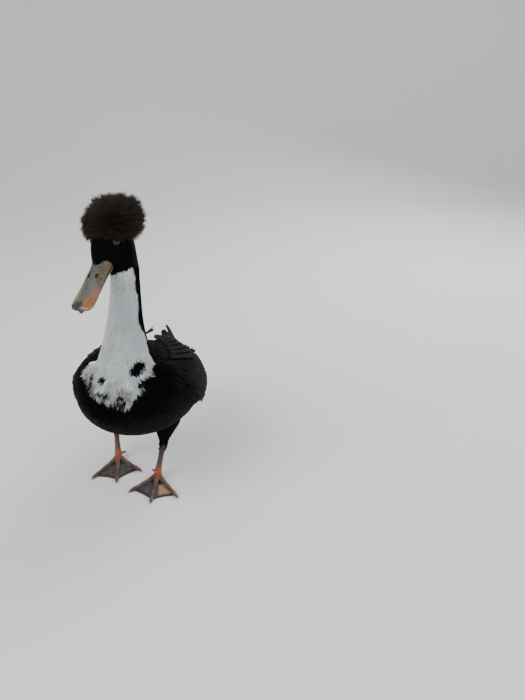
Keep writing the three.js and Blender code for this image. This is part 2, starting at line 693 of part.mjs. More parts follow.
function addLeg(name, side) {
  const joint = FOOT_PLACES[name];
  const turn = FOOT_TURNS[name];
  const place = (x, y, z) => legPoint(joint, turn, x, y, z);
  const pieces = [solid(webShape(place, side))];
  const ends = [];
  for (const toe of TOES) {
    const heading = radians(-toe.turn * side);
    pieces.push(solid(toeForm(place, toe.length, heading).geometry(8, 10)));
    const reach = toe.length;
    const end = place(sin(heading) * reach, -cos(heading) * reach, 2.3);
    const ahead = place(sin(heading), -cos(heading), 0).sub(place(0, 0, 0));
    ends.push({ name: toe.name, end, ahead, cut: beyond(end, ahead), dip: 0.05 });
  }
  // The ankle knuckle, and the hind toe that leaves it inward and back
  const knuckle = new THREE.SphereGeometry(1, 10, 8);
  knuckle.scale(6.6, 7, 7.5);
  const knuckleAt = place(0, 1, 8.5);
  knuckle.translate(knuckleAt.x, knuckleAt.y, knuckleAt.z);
  pieces.push(solid(knuckle));
  const hindAhead = place(-side * 0.62, 0.72, -0.3).sub(place(0, 0, 0)).normalize();
  const hindRoot = place(-side * 2, 4, 12);
  const hind = new Form(
    [[-2, 0], [0, 2.6], [0.5, 2.3], [1, 2.3], [1.25, 0]].map(([along, size]) => {
      const at = hindRoot.clone().addScaledVector(hindAhead, along < 0 ? along : along * 11);
      return [at.x, at.y, at.z, size, size, size];
    }),
  );
  pieces.push(solid(hind.geometry(10, 8)));
  const hindEnd = hindRoot.clone().addScaledVector(hindAhead, 11);
  ends.push({ name: "hind", end: hindEnd, ahead: hindAhead, cut: beyond(hindEnd, hindAhead), dip: -0.3 });

  const shankTop = place(HOCK_SHIFTS[name], HOCK_BACK, HOCK_HEIGHT);
  const shankFoot = place(0, 1, FOOT_HEIGHT);
  const shankLine = shankTop.clone().sub(shankFoot);
  const footTop = beyond(vector(0, 0, FOOT_HEIGHT), Z_AXIS);
  const foot = joined(pieces);
  const cutFoot = ends
    .reduce((left, { cut }) => left.subtract(cut), foot)
    .subtract(floorCut)
    .subtract(footTop);
  addPart(`foot_${name}`, cutFoot, new THREE.Color(0.5, 0.2, 0.1), 0.6);
  for (const { name: toeName, end, ahead, dip } of ends) {
    const root = end.clone().addScaledVector(ahead, TOUCH);
    const heading = Math.atan2(-ahead.x, ahead.y) + PI;
    const made = claw(root, heading, dip).subtract(floorCut);
    addPart(`claw_${name}_${toeName}`, made, new THREE.Color(0.05, 0.045, 0.04), 0.4);
  }

  const shank = new Form(
    [
      [-0.2, 1.1],
      [0, 1.15],
      [0.12, 1.02],
      [0.35, 0.86],
      [0.65, 0.84],
      [0.88, 1.08],
      [1, 1.3],
      [1.16, 1],
    ].map(([along, size]) => {
      const at = shankFoot.clone().addScaledVector(shankLine, along);
      return [at.x, at.y, at.z, size * SHANK.radius, size * SHANK.radius * 1.12, size * SHANK.radius * 1.12];
    }),
  );
  const overFoot = beyond(vector(0, 0, FOOT_HEIGHT + TOUCH), vector(0, 0, -1));
  const overHock = beyond(vector(0, 0, HOCK_HEIGHT), Z_AXIS);
  addPart(
    `shank_${name}`,
    solid(shank.geometry(12, 12)).subtract(overFoot).subtract(overHock),
    new THREE.Color(0.35, 0.16, 0.09),
    0.6,
  );

  const hip = vector(12 + side * 44, 2, 122);
  const thigh = new Form(
    [
      [-0.3, 5],
      [-0.06, 8.2],
      [0.14, 10],
      [0.4, 17],
      [0.7, 25],
      [1.1, 20],
      [1.3, 0],
    ].map(([along, size]) => {
      const at = shankTop.clone().lerp(hip, along);
      return [at.x, at.y, at.z, size, size * 1.15, size * 1.15];
    }),
  );
  const underHock = beyond(vector(0, 0, HOCK_HEIGHT + TOUCH), vector(0, 0, -1));
  const thighSolid = solid(thigh.geometry(12, 10)).subtract(underHock).subtract(torsoClear);
  addPart(`thigh_${name}`, thighSolid, DARK);
}

addLeg("left", 1);
addLeg("right", -1);

// The origin is the middle of the whole bird's box on the floor
const bounds = new THREE.Box3().setFromObject(duck);
const middle = bounds.getCenter(vector());
duck.position.set(-middle.x, -middle.y, -bounds.min.z);

export default duck;
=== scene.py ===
from itertools import product
from math import cos, pi, radians, sin, sqrt

import bmesh
import bpy
import numpy as np
from mathutils import Matrix, Vector, noise
from mathutils.bvhtree import BVHTree


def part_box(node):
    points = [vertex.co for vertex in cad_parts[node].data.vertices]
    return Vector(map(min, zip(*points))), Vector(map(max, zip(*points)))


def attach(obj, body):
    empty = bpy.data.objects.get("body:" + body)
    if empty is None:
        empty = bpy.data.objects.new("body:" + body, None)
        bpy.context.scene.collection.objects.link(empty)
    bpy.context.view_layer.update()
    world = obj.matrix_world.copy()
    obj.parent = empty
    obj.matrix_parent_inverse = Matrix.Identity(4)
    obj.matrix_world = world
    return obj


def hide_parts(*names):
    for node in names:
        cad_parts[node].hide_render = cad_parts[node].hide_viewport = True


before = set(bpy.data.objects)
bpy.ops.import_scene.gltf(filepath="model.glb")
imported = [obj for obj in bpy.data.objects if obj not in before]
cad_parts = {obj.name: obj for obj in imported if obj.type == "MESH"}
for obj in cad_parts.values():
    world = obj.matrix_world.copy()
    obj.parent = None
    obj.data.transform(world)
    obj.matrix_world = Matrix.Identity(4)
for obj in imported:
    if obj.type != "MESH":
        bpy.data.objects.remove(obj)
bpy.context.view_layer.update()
bpy.ops.object.select_all(action="DESELECT")


# The viewpoint: a person standing about a metre in front of the duck and looking down at it.
# It is set by the height, pitch and heading found for the picture, with a plain lens.
MM = 0.001
HEAD = {"length": 68, "width": 50, "height": 50}
HEAD_PLACE = (8, -107, 406)
HEAD_TURN, HEAD_DROP, HEAD_TILT = 12, 30, 5
EYE = {"radius": 5.6, "forward": -1, "side": 16, "up": 12}
head_frame = (
    Matrix.Translation(HEAD_PLACE)
    @ Matrix.Rotation(radians(-HEAD_TURN), 4, "Z")
    @ Matrix.Rotation(radians(HEAD_DROP), 4, "X")
    @ Matrix.Rotation(radians(-HEAD_TILT), 4, "Y")
)

# The bird's own millimetres are moved so that its left eye meets the solid one
eye_low, eye_high = (Vector(corner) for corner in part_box("eye_left"))
eye_at_home = head_frame @ Vector((EYE["side"], -EYE["forward"], EYE["up"]))
SHIFT = np.array((eye_low + eye_high) / 2) / MM - np.array(eye_at_home)
VIEWPOINT = (286.3, -1091.4, 664)
LOOK_DOWN, HEADING = 22, 4
FRAME_HEIGHT, FOCAL_PIXELS = 700, 760
SENSOR_HEIGHT = 36

bpy.ops.object.camera_add(
    location=(np.array(VIEWPOINT) + SHIFT) * MM,
    rotation=(pi / 2 - radians(LOOK_DOWN), 0, radians(HEADING)),
)
camera = bpy.context.object
camera.data.sensor_fit = "VERTICAL"
camera.data.sensor_height = SENSOR_HEIGHT
camera.data.lens = SENSOR_HEIGHT * FOCAL_PIXELS / FRAME_HEIGHT
camera.data.clip_start = 0.05
bpy.context.scene.camera = camera


# Stage: a pale studio floor that sweeps up behind the bird, with a large soft key light from the
# front and left, a weaker fill from the right and a low rim light that picks out the black plumage.
def socket(node, name, value):
    node.inputs[name].default_value = value


def new_material(name, color, roughness):
    material = bpy.data.materials.new(name)
    material.use_nodes = True
    shader = material.node_tree.nodes["Principled BSDF"]
    socket(shader, "Base Color", (*color, 1))
    socket(shader, "Roughness", roughness)
    return material, material.node_tree, shader


def add_node(tree, kind, **settings):
    node = tree.nodes.new(kind)
    for name, value in settings.items():
        setattr(node, name, value)
    return node


def object_coordinates(tree):
    return add_node(tree, "ShaderNodeTexCoord").outputs["Object"]


def noise_node(tree, scale, detail, vector=None):
    node = add_node(tree, "ShaderNodeTexNoise")
    socket(node, "Scale", scale)
    socket(node, "Detail", detail)
    tree.links.new(vector or object_coordinates(tree), node.inputs["Vector"])
    return node.outputs["Fac"]


def add_bump(tree, shader, height, strength, distance=None):
    node = add_node(tree, "ShaderNodeBump")
    socket(node, "Strength", strength)
    if distance:
        socket(node, "Distance", distance)
    tree.links.new(height, node.inputs["Height"])
    tree.links.new(node.outputs["Normal"], shader.inputs["Normal"])


def shade_smooth(piece):
    piece.data.polygons.foreach_set("use_smooth", [True] * len(piece.data.polygons))


FLOOR_HALF_WIDTH = 4
SWEEP = [  # along the floor and up the backdrop, in metres
    (-3.0, 0.0), (1.6, 0.0), (2.1, 0.05), (2.5, 0.2), (2.8, 0.45), (3.0, 0.8), (3.1, 1.4), (3.1, 3.0),
]
bpy.ops.mesh.primitive_plane_add(size=1, location=(0, 0, 0))
floor = bpy.context.object
floor.name = "studio_floor"
shape = bmesh.new()
rows = [
    [shape.verts.new((side * FLOOR_HALF_WIDTH, along, up)) for side in (-1, 1)] for along, up in SWEEP
]
for near, far in zip(rows, rows[1:]):
    shape.faces.new((near[0], near[1], far[1], far[0]))
shape.to_mesh(floor.data)
shape.free()
shade_smooth(floor)
floor_material, tree, shader = new_material("pale_studio_floor", (0.8, 0.795, 0.78), 0.75)
add_bump(tree, shader, noise_node(tree, 90, 2), 0.06)
floor.data.materials.clear()
floor.data.materials.append(floor_material)


def area_light(name, place, target, size, power, color=(1, 1, 1)):
    bpy.ops.object.light_add(type="AREA", location=place)
    light = bpy.context.object
    light.name = name
    light.data.size = size
    light.data.energy = power
    light.data.color = color
    light.rotation_euler = (Vector(target) - Vector(place)).to_track_quat("-Z", "Y").to_euler()


area_light("key_light", (-1.1, -1.5, 1.9), (0, 0, 0.2), 1.5, 46)
area_light("fill_light", (1.9, -1.1, 1.1), (0, 0, 0.2), 1.8, 16, (0.93, 0.96, 1))
area_light("rim_light", (0.9, 1.5, 1.3), (0, 0, 0.25), 1.2, 26)
world = bpy.data.worlds.new("studio_air")
world.use_nodes = True
socket(world.node_tree.nodes["Background"], "Color", (0.93, 0.95, 1, 1))
socket(world.node_tree.nodes["Background"], "Strength", 0.62)
bpy.context.scene.world = world


# Skin: the bird's own body under its coat, in one closed surface from the face to the hocks.
# It is laid up from rounded forms for torso, neck, head, tail root, wing arms, thighs and the
# fatty knob under the crest, each sunk by the depth of the feathers, then melted together.
BODY = {"length": 300, "width": 184, "height": 150}
body_frame = Matrix.Translation((19, -14, 162)) @ Matrix.Rotation(radians(-13), 4, "X")


def world_places(places):
    return (np.asarray(places, float) + SHIFT) * MM


def in_frame(matrix, places):
    places = np.asarray(places, float)
    return places @ np.array(matrix.to_3x3()).T + np.array(matrix.translation)


def out_of_frame(matrix, places):
    return in_frame(matrix.inverted(), places)


def catmull(points, t):
    """A smooth curve through the points, read at the shares t."""
    points = np.asarray(points, float)
    t = np.clip(np.atleast_1d(np.asarray(t, float)), 0, 1)
    spread = np.vstack([2 * points[0] - points[1], points, 2 * points[-1] - points[-2]])
    travel = t * (len(points) - 1)
    start = np.minimum(travel.astype(int), len(points) - 2)
    w = (travel - start)[:, None]
    before, here, there, after = (spread[start + i] for i in range(4))
    slope_in, slope_out = 0.5 * (there - before), 0.5 * (after - here)
    rise = there - here
    return here + slope_in * w + (3 * rise - 2 * slope_in - slope_out) * w**2 + (
        slope_in + slope_out - 2 * rise
    ) * w**3


def unit(vectors):
    return vectors / np.maximum(np.linalg.norm(vectors, axis=-1, keepdims=True), 1e-9)


class Form:
    """A rounded form: stations of x, y, z, half width, half size up and half size down."""

    def __init__(self, stations, side=(1, 0, 0), is_open=False, depth=0):
        stations = np.asarray(stations, float).copy()
        last = len(stations) - 1
        stations[:, 3:] = np.maximum(stations[:, 3:] - depth, 0)
        inner = np.arange(last + 1) if is_open else np.clip(np.arange(last + 1), 1, last - 1)
        bulge = np.ones(last + 1) if is_open else 2 * np.sqrt(inner / last * (1 - inner / last))
        self.path = stations[:, :3]
        self.sizes = stations[inner, 3:] / bulge[:, None]
        self.side = np.array(side, float)
        self.is_open = is_open

    def axes(self, t):
        near, far = np.clip(t - 1e-3, 0, 1), np.clip(t + 1e-3, 0, 1)
        ahead = unit(catmull(self.path, far) - catmull(self.path, near))
        left = unit(self.side - ahead * (ahead @ self.side)[:, None])
        return ahead, left, unit(np.cross(left, ahead))

    def point(self, t, turn, lift=0):
        t, turn = np.broadcast_arrays(np.atleast_1d(np.asarray(t, float)), np.asarray(turn, float))
        _, left, up = self.axes(t)
        size = catmull(self.sizes, t)
        share = np.ones(t.shape) if self.is_open else 2 * np.sqrt(np.maximum(t * (1 - t), 0))
        wide = size[:, 0] * share + lift
        tall = np.where(np.sin(turn) >= 0, size[:, 1], size[:, 2]) * share + lift
        return (
            catmull(self.path, t)
            + left * (wide * np.cos(turn))[:, None]
            + up * (tall * np.sin(turn))[:, None]
        )

    def surface(self, around, along):
        """Closed rings of corners and faces, with a single corner at each end."""
        polar = np.linspace(0, pi, along + 1)[1:-1]
        turns = np.arange(around) / around * 2 * pi
        rings = [self.point(np.full(around, (1 - cos(p)) / 2), turns) for p in polar]
        ends = [self.point([0], [0])[0], self.point([1], [0])[0]]
        return close_rings(rings, ends)


def close_rings(rings, ends):
    around = len(rings[0])
    corners = np.vstack([*rings, ends[0][None], ends[1][None]])
    first, last = len(rings) * around, len(rings) * around + 1
    faces = []
    for i in range(len(rings) - 1):
        for j in range(around):
            k = (j + 1) % around
            faces.append((i * around + j, i * around + k, (i + 1) * around + k, (i + 1) * around + j))
    top = (len(rings) - 1) * around
    for j in range(around):
        k = (j + 1) % around
        faces.append((first, k, j))
        faces.append((last, top + j, top + k))
    return corners, faces


def make_object(name, corners, faces):
    """A mesh in metres from corners in the bird's own millimetres."""
    mesh = bpy.data.meshes.new(name)
    mesh.from_pydata(world_places(corners).tolist(), [], [tuple(int(c) for c in f) for f in faces])
    piece = bpy.data.objects.new(name, mesh)
    bpy.context.collection.objects.link(piece)
    shade_smooth(piece)
    return piece


def move_corners(piece, places):
    piece.data.vertices.foreach_set("co", world_places(places).ravel())
    shade_smooth(piece)


def outward(piece):
    shape = bmesh.new()
    shape.from_mesh(piece.data)
    bmesh.ops.remove_doubles(shape, verts=shape.verts, dist=1e-6)
    bmesh.ops.recalc_face_normals(shape, faces=shape.faces)
    shape.to_mesh(piece.data)
    shape.free()


def apply_modifier(piece, kind, **settings):
    bpy.ops.object.select_all(action="DESELECT")
    piece.select_set(True)
    bpy.context.view_layer.objects.active = piece
    modifier = piece.modifiers.new(kind.lower(), kind)
    for name, value in settings.items():
        setattr(modifier, name, value)
    bpy.ops.object.modifier_apply(modifier=modifier.name)


def join_pieces(name, pieces):
    bpy.ops.object.select_all(action="DESELECT")
    for piece in pieces:
        piece.select_set(True)
    bpy.context.view_layer.objects.active = pieces[0]
    bpy.ops.object.join()
    pieces[0].name = name
    pieces[0].data.name = name
    return pieces[0]


def body_rows(rows):
    places = in_frame(body_frame, [(0, along * BODY["length"], rise) for along, rise, *_ in rows])
    sizes = [(w * BODY["width"] / 2, u * BODY["height"], d * BODY["height"]) for *_, w, u, d in rows]
    return np.hstack([places, sizes])


TORSO_ROWS = [
    (-0.5, 2, 0, 0, 0), (-0.42, 2, 0.58, 0.29, 0.28), (-0.27, 0, 0.88, 0.42, 0.405),
    (-0.1, 0, 1, 0.49, 0.46), (0.07, 0, 1, 0.48, 0.465), (0.24, 4, 0.88, 0.4, 0.41),
    (0.38, 11, 0.66, 0.29, 0.31), (0.46, 16, 0.46, 0.19, 0.21), (0.5, 18, 0, 0, 0),
]
NECK_ROWS = [
    (17, -66, 158, 0, 0, 0), (17, -80, 192, 57, 62, 56), (17, -86, 218, 49, 53, 50),
    (17, -88, 242, 40, 41, 42), (18.5, -89, 266, 32.5, 31, 34), (21, -92, 298, 26.5, 26, 27),
    (25, -96, 336, 22.5, 22, 22.5), (27, -98, 370, 20.7, 20, 21.5), (26, -99, 391, 20, 16, 22),
    (22.5, -97, 411, 19.5, 12, 22.5), (19, -95, 431, 0, 0, 0),
]
HEAD_ROWS = [
    (-0.56, -3, 0, 0, 0), (-0.46, -2.5, 8.5, 13.5, 14), (-0.32, -1, 15, 15.5, 21),
    (-0.1, 0, 21.5, 23, 26), (0.12, 0, HEAD["width"] / 2, HEAD["height"] / 2, HEAD["height"] / 2 + 1),
    (0.38, -3, 22, 21, 22), (0.58, -6, 0, 0, 0),
]
# The knob under the crest, the fullness that joins the nape to the back of the skull, and the point
# of feathers that runs out over the root of the bill
KNOB_ROWS = [
    (0.12, 12, 0, 0, 0), (0.24, 14, 15, 12, 9), (0.42, 15, 18, 14, 14), (0.6, 14, 14, 11, 12),
    (0.74, 12, 0, 0, 0),
]
NAPE_ROWS = [
    (19, -92, 432, 0, 0, 0), (22, -91, 414, 17, 13, 16), (25, -93, 392, 18, 15, 17),
    (26.5, -95, 366, 18, 16, 17), (25, -96, 340, 0, 0, 0),
]
BROW_ROWS = [
    (-0.2, 8, 0, 0, 0), (-0.3, 9, 10, 5, 8), (-0.41, 7.5, 7, 4.6, 8), (-0.49, 5.5, 3.6, 4.4, 6),
    (-0.56, 3.5, 0, 0, 0),
]
TAIL_ROWS = [
    (112, 15, 0, 0, 0), (132, 15, 40, 28, 34), (152, 17, 32, 20, 23), (170, 20, 21, 8, 9),
    (182, 23, 0, 0, 0),
]
RUMP = 132

head_left = np.array(head_frame.to_3x3() @ Vector((1, 0, 0)))


def head_stations(rows):
    places = in_frame(head_frame, [(0, along * HEAD["length"], rise) for along, rise, *_ in rows])
    return np.hstack([places, [sizes for _, _, *sizes in rows]])


def tail_stations(rows):
    places = in_frame(body_frame, [(0, along, rise) for along, rise, *_ in rows])
    return np.hstack([places, [sizes for _, _, *sizes in rows]])


wing_form = Form(
    body_rows([
        (-0.34, 10, 0.78, 0.37, 0.38), (-0.2, 6, 1, 0.45, 0.5), (-0.04, 2, 1.08, 0.5, 0.55),
        (0.12, 1, 1.07, 0.5, 0.55), (0.28, 10, 0.9, 0.43, 0.5), (0.42, 28, 0.54, 0.31, 0.34),
        (0.52, 46, 0.3, 0.22, 0.2), (0.6, 60, 0.15, 0.16, 0.1),
    ]),
    is_open=True,
)


def wing_pad(side, steps=22, across=15):
    """The folded arm under the coverts, swelling over the flank and thin at its rim."""
    rings = []
    for i in range(steps + 1):
        share = i / steps
        low = 2 - 32 * sin(pi * share) ** 0.7 + share * 30
        high = 50 + 28 * sin(pi * share / 1.3)
        swell = 6.4 * (0.1 + 0.9 * sqrt(sin(pi * (0.03 + 0.94 * share))))
        u = np.linspace(0, 1, across)
        turn = np.radians(low + (high - low) * u)
        turn = turn if side > 0 else pi - turn
        t = np.full(across, 0.02 + 0.64 * share)
        outer = wing_form.point(t, turn, -7.5 + swell * np.sqrt(np.sin(pi * (0.05 + 0.9 * u))))
        inner = wing_form.point(t, turn, -14)
        rings.append(np.vstack([outer, inner[::-1]]))
    return close_rings(rings, [rings[0].mean(0), rings[-1].mean(0)])


LEGS = {
    "left": {"side": 1, "joint": (40, -27), "turn": 2, "hock": 9},
    "right": {"side": -1, "joint": (-39, 27), "turn": 11, "hock": -2},
}
FOOT_HEIGHT, HOCK_HEIGHT, HOCK_BACK = 13, 58, 17
HIPS = {"middle": 12, "apart": 44, "back": 2, "height": 122}


def leg_place(leg, places):
    turn = Matrix.Rotation(radians(leg["turn"]), 4, "Z")
    return in_frame(Matrix.Translation((*leg["joint"], 0)) @ turn, places)


def leg_point(leg, *place):
    return leg_place(leg, [place])[0]


def thigh_line(leg):
    """The thigh's lower end at the hock, and its upper end at the hip."""
    hock = leg_point(leg, leg["hock"], HOCK_BACK, HOCK_HEIGHT)
    hip = np.array((HIPS["middle"] + leg["side"] * HIPS["apart"], HIPS["back"], HIPS["height"]))
    return hock, hip


def thigh_form(leg, depth):
    hock, hip = thigh_line(leg)
    rows = [(-0.22, 5), (-0.06, 8.2), (0.14, 10), (0.4, 17), (0.7, 25), (1.1, 20), (1.3, 0)]
    return Form([(*(hock + (hip - hock) * a), s, s * 1.15, s * 1.15) for a, s in rows], depth=depth)


COAT = {"torso": 4.2, "neck": 2.6, "head": 1.6, "tail": 4, "thigh": 2.6}
SKIN_VOXEL = 0.0024
flesh = [
    Form(body_rows(TORSO_ROWS), depth=COAT["torso"]).surface(64, 60),
    Form(NECK_ROWS, depth=COAT["neck"]).surface(48, 60),
    Form(head_stations(HEAD_ROWS), side=head_left, depth=COAT["head"]).surface(48, 40),
    Form(tail_stations(TAIL_ROWS), depth=COAT["tail"]).surface(32, 16),
    wing_pad(1),
    wing_pad(-1),
    thigh_form(LEGS["left"], COAT["thigh"]).surface(32, 24),
    thigh_form(LEGS["right"], COAT["thigh"]).surface(32, 24),
    Form(head_stations(KNOB_ROWS), side=head_left).surface(24, 16),
    Form(NAPE_ROWS).surface(24, 16),
    Form(head_stations(BROW_ROWS), side=head_left).surface(24, 16),
]
parts = [make_object(f"flesh_{i}", *form) for i, form in enumerate(flesh)]
for part in parts:
    outward(part)
skin = join_pieces("duck_skin", parts)
apply_modifier(skin, "REMESH", mode="VOXEL", voxel_size=SKIN_VOXEL)
apply_modifier(skin, "SMOOTH", factor=0.5, iterations=7)
shade_smooth(skin)


# Markings: black plumage, with a white throat, fore neck and bib, and a black stripe down the nape.
# The bib's lower edge hangs to a point left of the middle, and dark patches break it up.
BIB = {"middle": 25, "foot": 197, "point": 30, "point_width": 8, "point_drop": 7}
THROAT = {"side": 11, "top": 371, "slope": 0.33}
NAPE_EDGE = -103.5
PATCHES = [  # place, then half sizes of each dark patch, in mm
    ((42, -121, 237), (11, 30, 9.5)), ((-8, -136, 223), (5.5, 30, 4)), ((-27, -127, 215), (4, 30, 9)),
    ((-2, -152, 208), (10, 30, 2.8)), ((22, -157, 207), (6, 30, 2.6)), ((24, -160, 199), (8, 30, 3)),
    ((64, -108, 229), (7, 40, 7)), ((53, -125, 220), (8, 40, 4)),
]


def smooth_step(low, high, value):
    share = np.clip((value - low) / (high - low), 0, 1)
    return share * share * (3 - 2 * share)


def ripple(places, scale, seed=0):
    spots = places * scale + (seed, 0, 0)
    return np.array([noise.noise(Vector(spot)) for spot in spots])


def white_share(places):
    """0 where the plumage is black, and 1 where it is white."""
    x, y, z = places.T
    wobble = ripple(places, 0.11) * 5 + ripple(places, 0.3, 7) * 3
    dip = np.where(x < BIB["middle"], 0.0034, 0.02) * (x - BIB["middle"]) ** 2
    dip -= BIB["point_drop"] * np.exp(-(((x - BIB["point"]) / BIB["point_width"]) ** 2))
    bottom = smooth_step(-2.5, 2.5, z - (BIB["foot"] + dip) + wobble)
    throat = THROAT["top"] + THROAT["slope"] * (x - THROAT["side"])
    top = smooth_step(-2, 2, throat - z + wobble * 0.35)
    nape_side = NAPE_EDGE - 5.5 * smooth_step(325, 368, z)
    edge = nape_side + 13 * smooth_step(0, 26, 300 - z) + 9 * smooth_step(18, 2, x)
    front = smooth_step(-3, 3, edge - y + wobble * 0.5)
    share = bottom * top * front
    for place, sizes in PATCHES:
        reach = np.sqrt((((places - place) / sizes) ** 2).sum(1)) + wobble * 0.06
        share = share * smooth_step(0.8, 1.15, reach)
    return share


def skin_places(piece):
    corners = np.empty(len(piece.data.vertices) * 3)
    piece.data.vertices.foreach_get("co", corners)
    return corners.reshape(-1, 3) / MM - SHIFT


def put_attribute(piece, name, values):
    layer = piece.data.attributes.new(name, "FLOAT", "POINT")
    layer.data.foreach_set("value", np.ascontiguousarray(values, dtype=np.float32))


def attribute_node(tree, name):
    return add_node(tree, "ShaderNodeAttribute", attribute_name=name).outputs["Fac"]


def feed(tree, slot, value):
    """Links a socket to a node's output, or sets it to a plain value."""
    if isinstance(value, bpy.types.NodeSocket):
        tree.links.new(value, slot)
    else:
        slot.default_value = value


def math_node(tree, operation, *values):
    node = add_node(tree, "ShaderNodeMath", operation=operation)
    for slot, value in zip(node.inputs, values):
        feed(tree, slot, value)
    return node.outputs[0]


def mix_colors(tree, share, first, second, blend="MIX"):
    node = add_node(tree, "ShaderNodeMix", data_type="RGBA", blend_type=blend)
    for number, value in ((0, share), (6, first), (7, second)):
        feed(tree, node.inputs[number], value)
    return node.outputs[2]


def axes_of(tree, vector):
    node = add_node(tree, "ShaderNodeSeparateXYZ")
    tree.links.new(vector, node.inputs[0])
    return node.outputs


def ramp(tree, value, *stops):
    node = add_node(tree, "ShaderNodeValToRGB")
    elements = node.color_ramp.elements
    while len(elements) < len(stops):
        elements.new(0.5)
    for element, (place, color) in zip(elements, stops):
        element.position = place
        element.color = (*color, 1)
    tree.links.new(value, node.inputs["Fac"])
    return node.outputs["Color"]


def grey(value):
    return (value, value, value)


def remap(tree, value, low, high):
    node = add_node(tree, "ShaderNodeMapRange", interpolation_type="SMOOTHSTEP")
    tree.links.new(value, node.inputs["Value"])
    socket(node, "From Min", low)
    socket(node, "From Max", high)
    return node.outputs["Result"]


def plumage_colors(tree):
    """The bird's markings in colour: blue-black and brown-black against cream and blue-white."""
    dark = ramp(
        tree, noise_node(tree, 16, 4),
        (0.3, (0.0024, 0.0022, 0.0027)), (0.52, (0.004, 0.0034, 0.0036)),
        (0.75, (0.0085, 0.006, 0.005)),
    )
    pale = ramp(
        tree, noise_node(tree, 22, 3),
        (0.3, (0.7, 0.66, 0.58)), (0.5, (0.8, 0.795, 0.78)), (0.72, (0.72, 0.77, 0.84)),
    )
    # The foot of the bib turns grey-brown in clouds, more so towards its lower edge
    height = axes_of(tree, object_coordinates(tree))["Z"]
    clouds = ramp(tree, noise_node(tree, 60, 4), (0.36, grey(0.12)), (0.6, grey(0.95)))
    bib_foot_grey = math_node(tree, "MULTIPLY", remap(tree, height, 0.238, 0.203), clouds)
    pale = mix_colors(tree, bib_foot_grey, pale, (0.16, 0.135, 0.115, 1.0))
    return mix_colors(tree, attribute_node(tree, "mark"), dark, pale)


skin_material, tree, shader = new_material("duck_skin_down", (0.02, 0.02, 0.02), 0.9)
down_color = mix_colors(tree, 0.12, plumage_colors(tree), (0.02, 0.017, 0.015, 1.0))
tree.links.new(down_color, shader.inputs["Base Color"])
skin.data.materials.clear()
skin.data.materials.append(skin_material)
put_attribute(skin, "mark", white_share(skin_places(skin)))
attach(skin, "root")
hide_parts("torso", "neck", "head", "thigh_left", "thigh_right")


# Body coat: hundreds of small curved contour feathers a side, each rooted in the skin and lying
# back over the next like shingles. Their barbs run slantwise from a fine shaft.
GUIDES = [  # a place on the bird, and the way the feathers lie there
    ((24, -119, 372), (0, -0.1, -1)), ((24, -76, 372), (0, 0.1, -1)), ((46, -98, 368), (0, 0, -1)),
    ((2, -98, 368), (0, 0, -1)), ((21, -118, 300), (0, -0.15, -1)), ((21, -64, 300), (0, 0.25, -1)),
    ((48, -92, 300), (0.05, 0, -1)), ((-6, -92, 300), (-0.05, 0, -1)),
    ((18, -135, 245), (0, -0.45, -1)), ((18, -152, 205), (0, -0.1, -1)),
    ((18, -38, 238), (0, 1, -0.45)), ((68, -95, 225), (0.35, 0.45, -0.8)),
    ((-34, -95, 225), (-0.35, 0.45, -0.8)), ((18, -160, 165), (0, 0.15, -1)),
    ((18, -135, 118), (0, 0.75, -0.7)), ((76, -120, 165), (0.3, 0.8, -0.5)),
    ((-40, -120, 165), (-0.3, 0.8, -0.5)), ((110, -20, 160), (0, 1, -0.12)),
    ((-74, -20, 160), (0, 1, -0.12)), ((19, 0, 234), (0, 1, -0.2)), ((19, -20, 86), (0, 1, -0.1)),
    ((19, 110, 182), (0, 1, -0.05)), ((19, 120, 120), (0, 1, 0.25)), ((-38, 15, 82), (0, 0.15, -1)),
    ((45, -10, 82), (0, 0.15, -1)), ((60, 60, 130), (0, 1, -0.05)), ((-24, 60, 130), (0, 1, -0.05)),
]
HEAD_GUIDES = [
    ((0, -38, 2), (0, 1, 0.5)), ((0, -22, 22), (0, 1, 0.45)), ((16, -22, 2), (0, 1, 0)),
    ((-16, -22, 2), (0, 1, 0)), ((23, 2, 0), (0, 1, -0.25)), ((-23, 2, 0), (0, 1, -0.25)),
    ((0, -16, -20), (0, 1, -0.25)),
    ((16, 16, -16), (0, 0.7, -0.9)), ((-16, 16, -16), (0, 0.7, -0.9)), ((0, 30, 0), (0, 0.3, -1)),
]
head_turn = np.array(head_frame.to_3x3())
head_places = in_frame(head_frame, [place for place, _ in HEAD_GUIDES])
guide_places = np.array([place for place, _ in GUIDES] + list(head_places))
head_ways = [head_turn @ np.array(way) for _, way in HEAD_GUIDES]
guide_ways = unit(np.array([way for _, way in GUIDES] + head_ways, float))


def lie_of_coat(places, normals):
    gap = ((places[:, None, :] - guide_places[None]) ** 2).sum(2)
    weight = 1 / (gap + 250) ** 1.6
    way = (weight[:, :, None] * guide_ways[None]).sum(1)
    way -= normals * (way * normals).sum(1)[:, None]
    return unit(way)


skin_mesh = skin.data
skin_mesh.calc_loop_triangles()
tri_corners = np.empty(len(skin_mesh.loop_triangles) * 3, int)
skin_mesh.loop_triangles.foreach_get("vertices", tri_corners)
tri_corners = tri_corners.reshape(-1, 3)
skin_corners = skin_places(skin)
skin_tree = BVHTree.FromPolygons([Vector(c) for c in skin_corners], tri_corners.tolist())


def nearest_on_skin(places):
    near = np.empty_like(places)
    out = np.empty_like(places)
    for i, place in enumerate(places):
        near[i], out[i], _, _ = skin_tree.find_nearest(place)
    return near, out


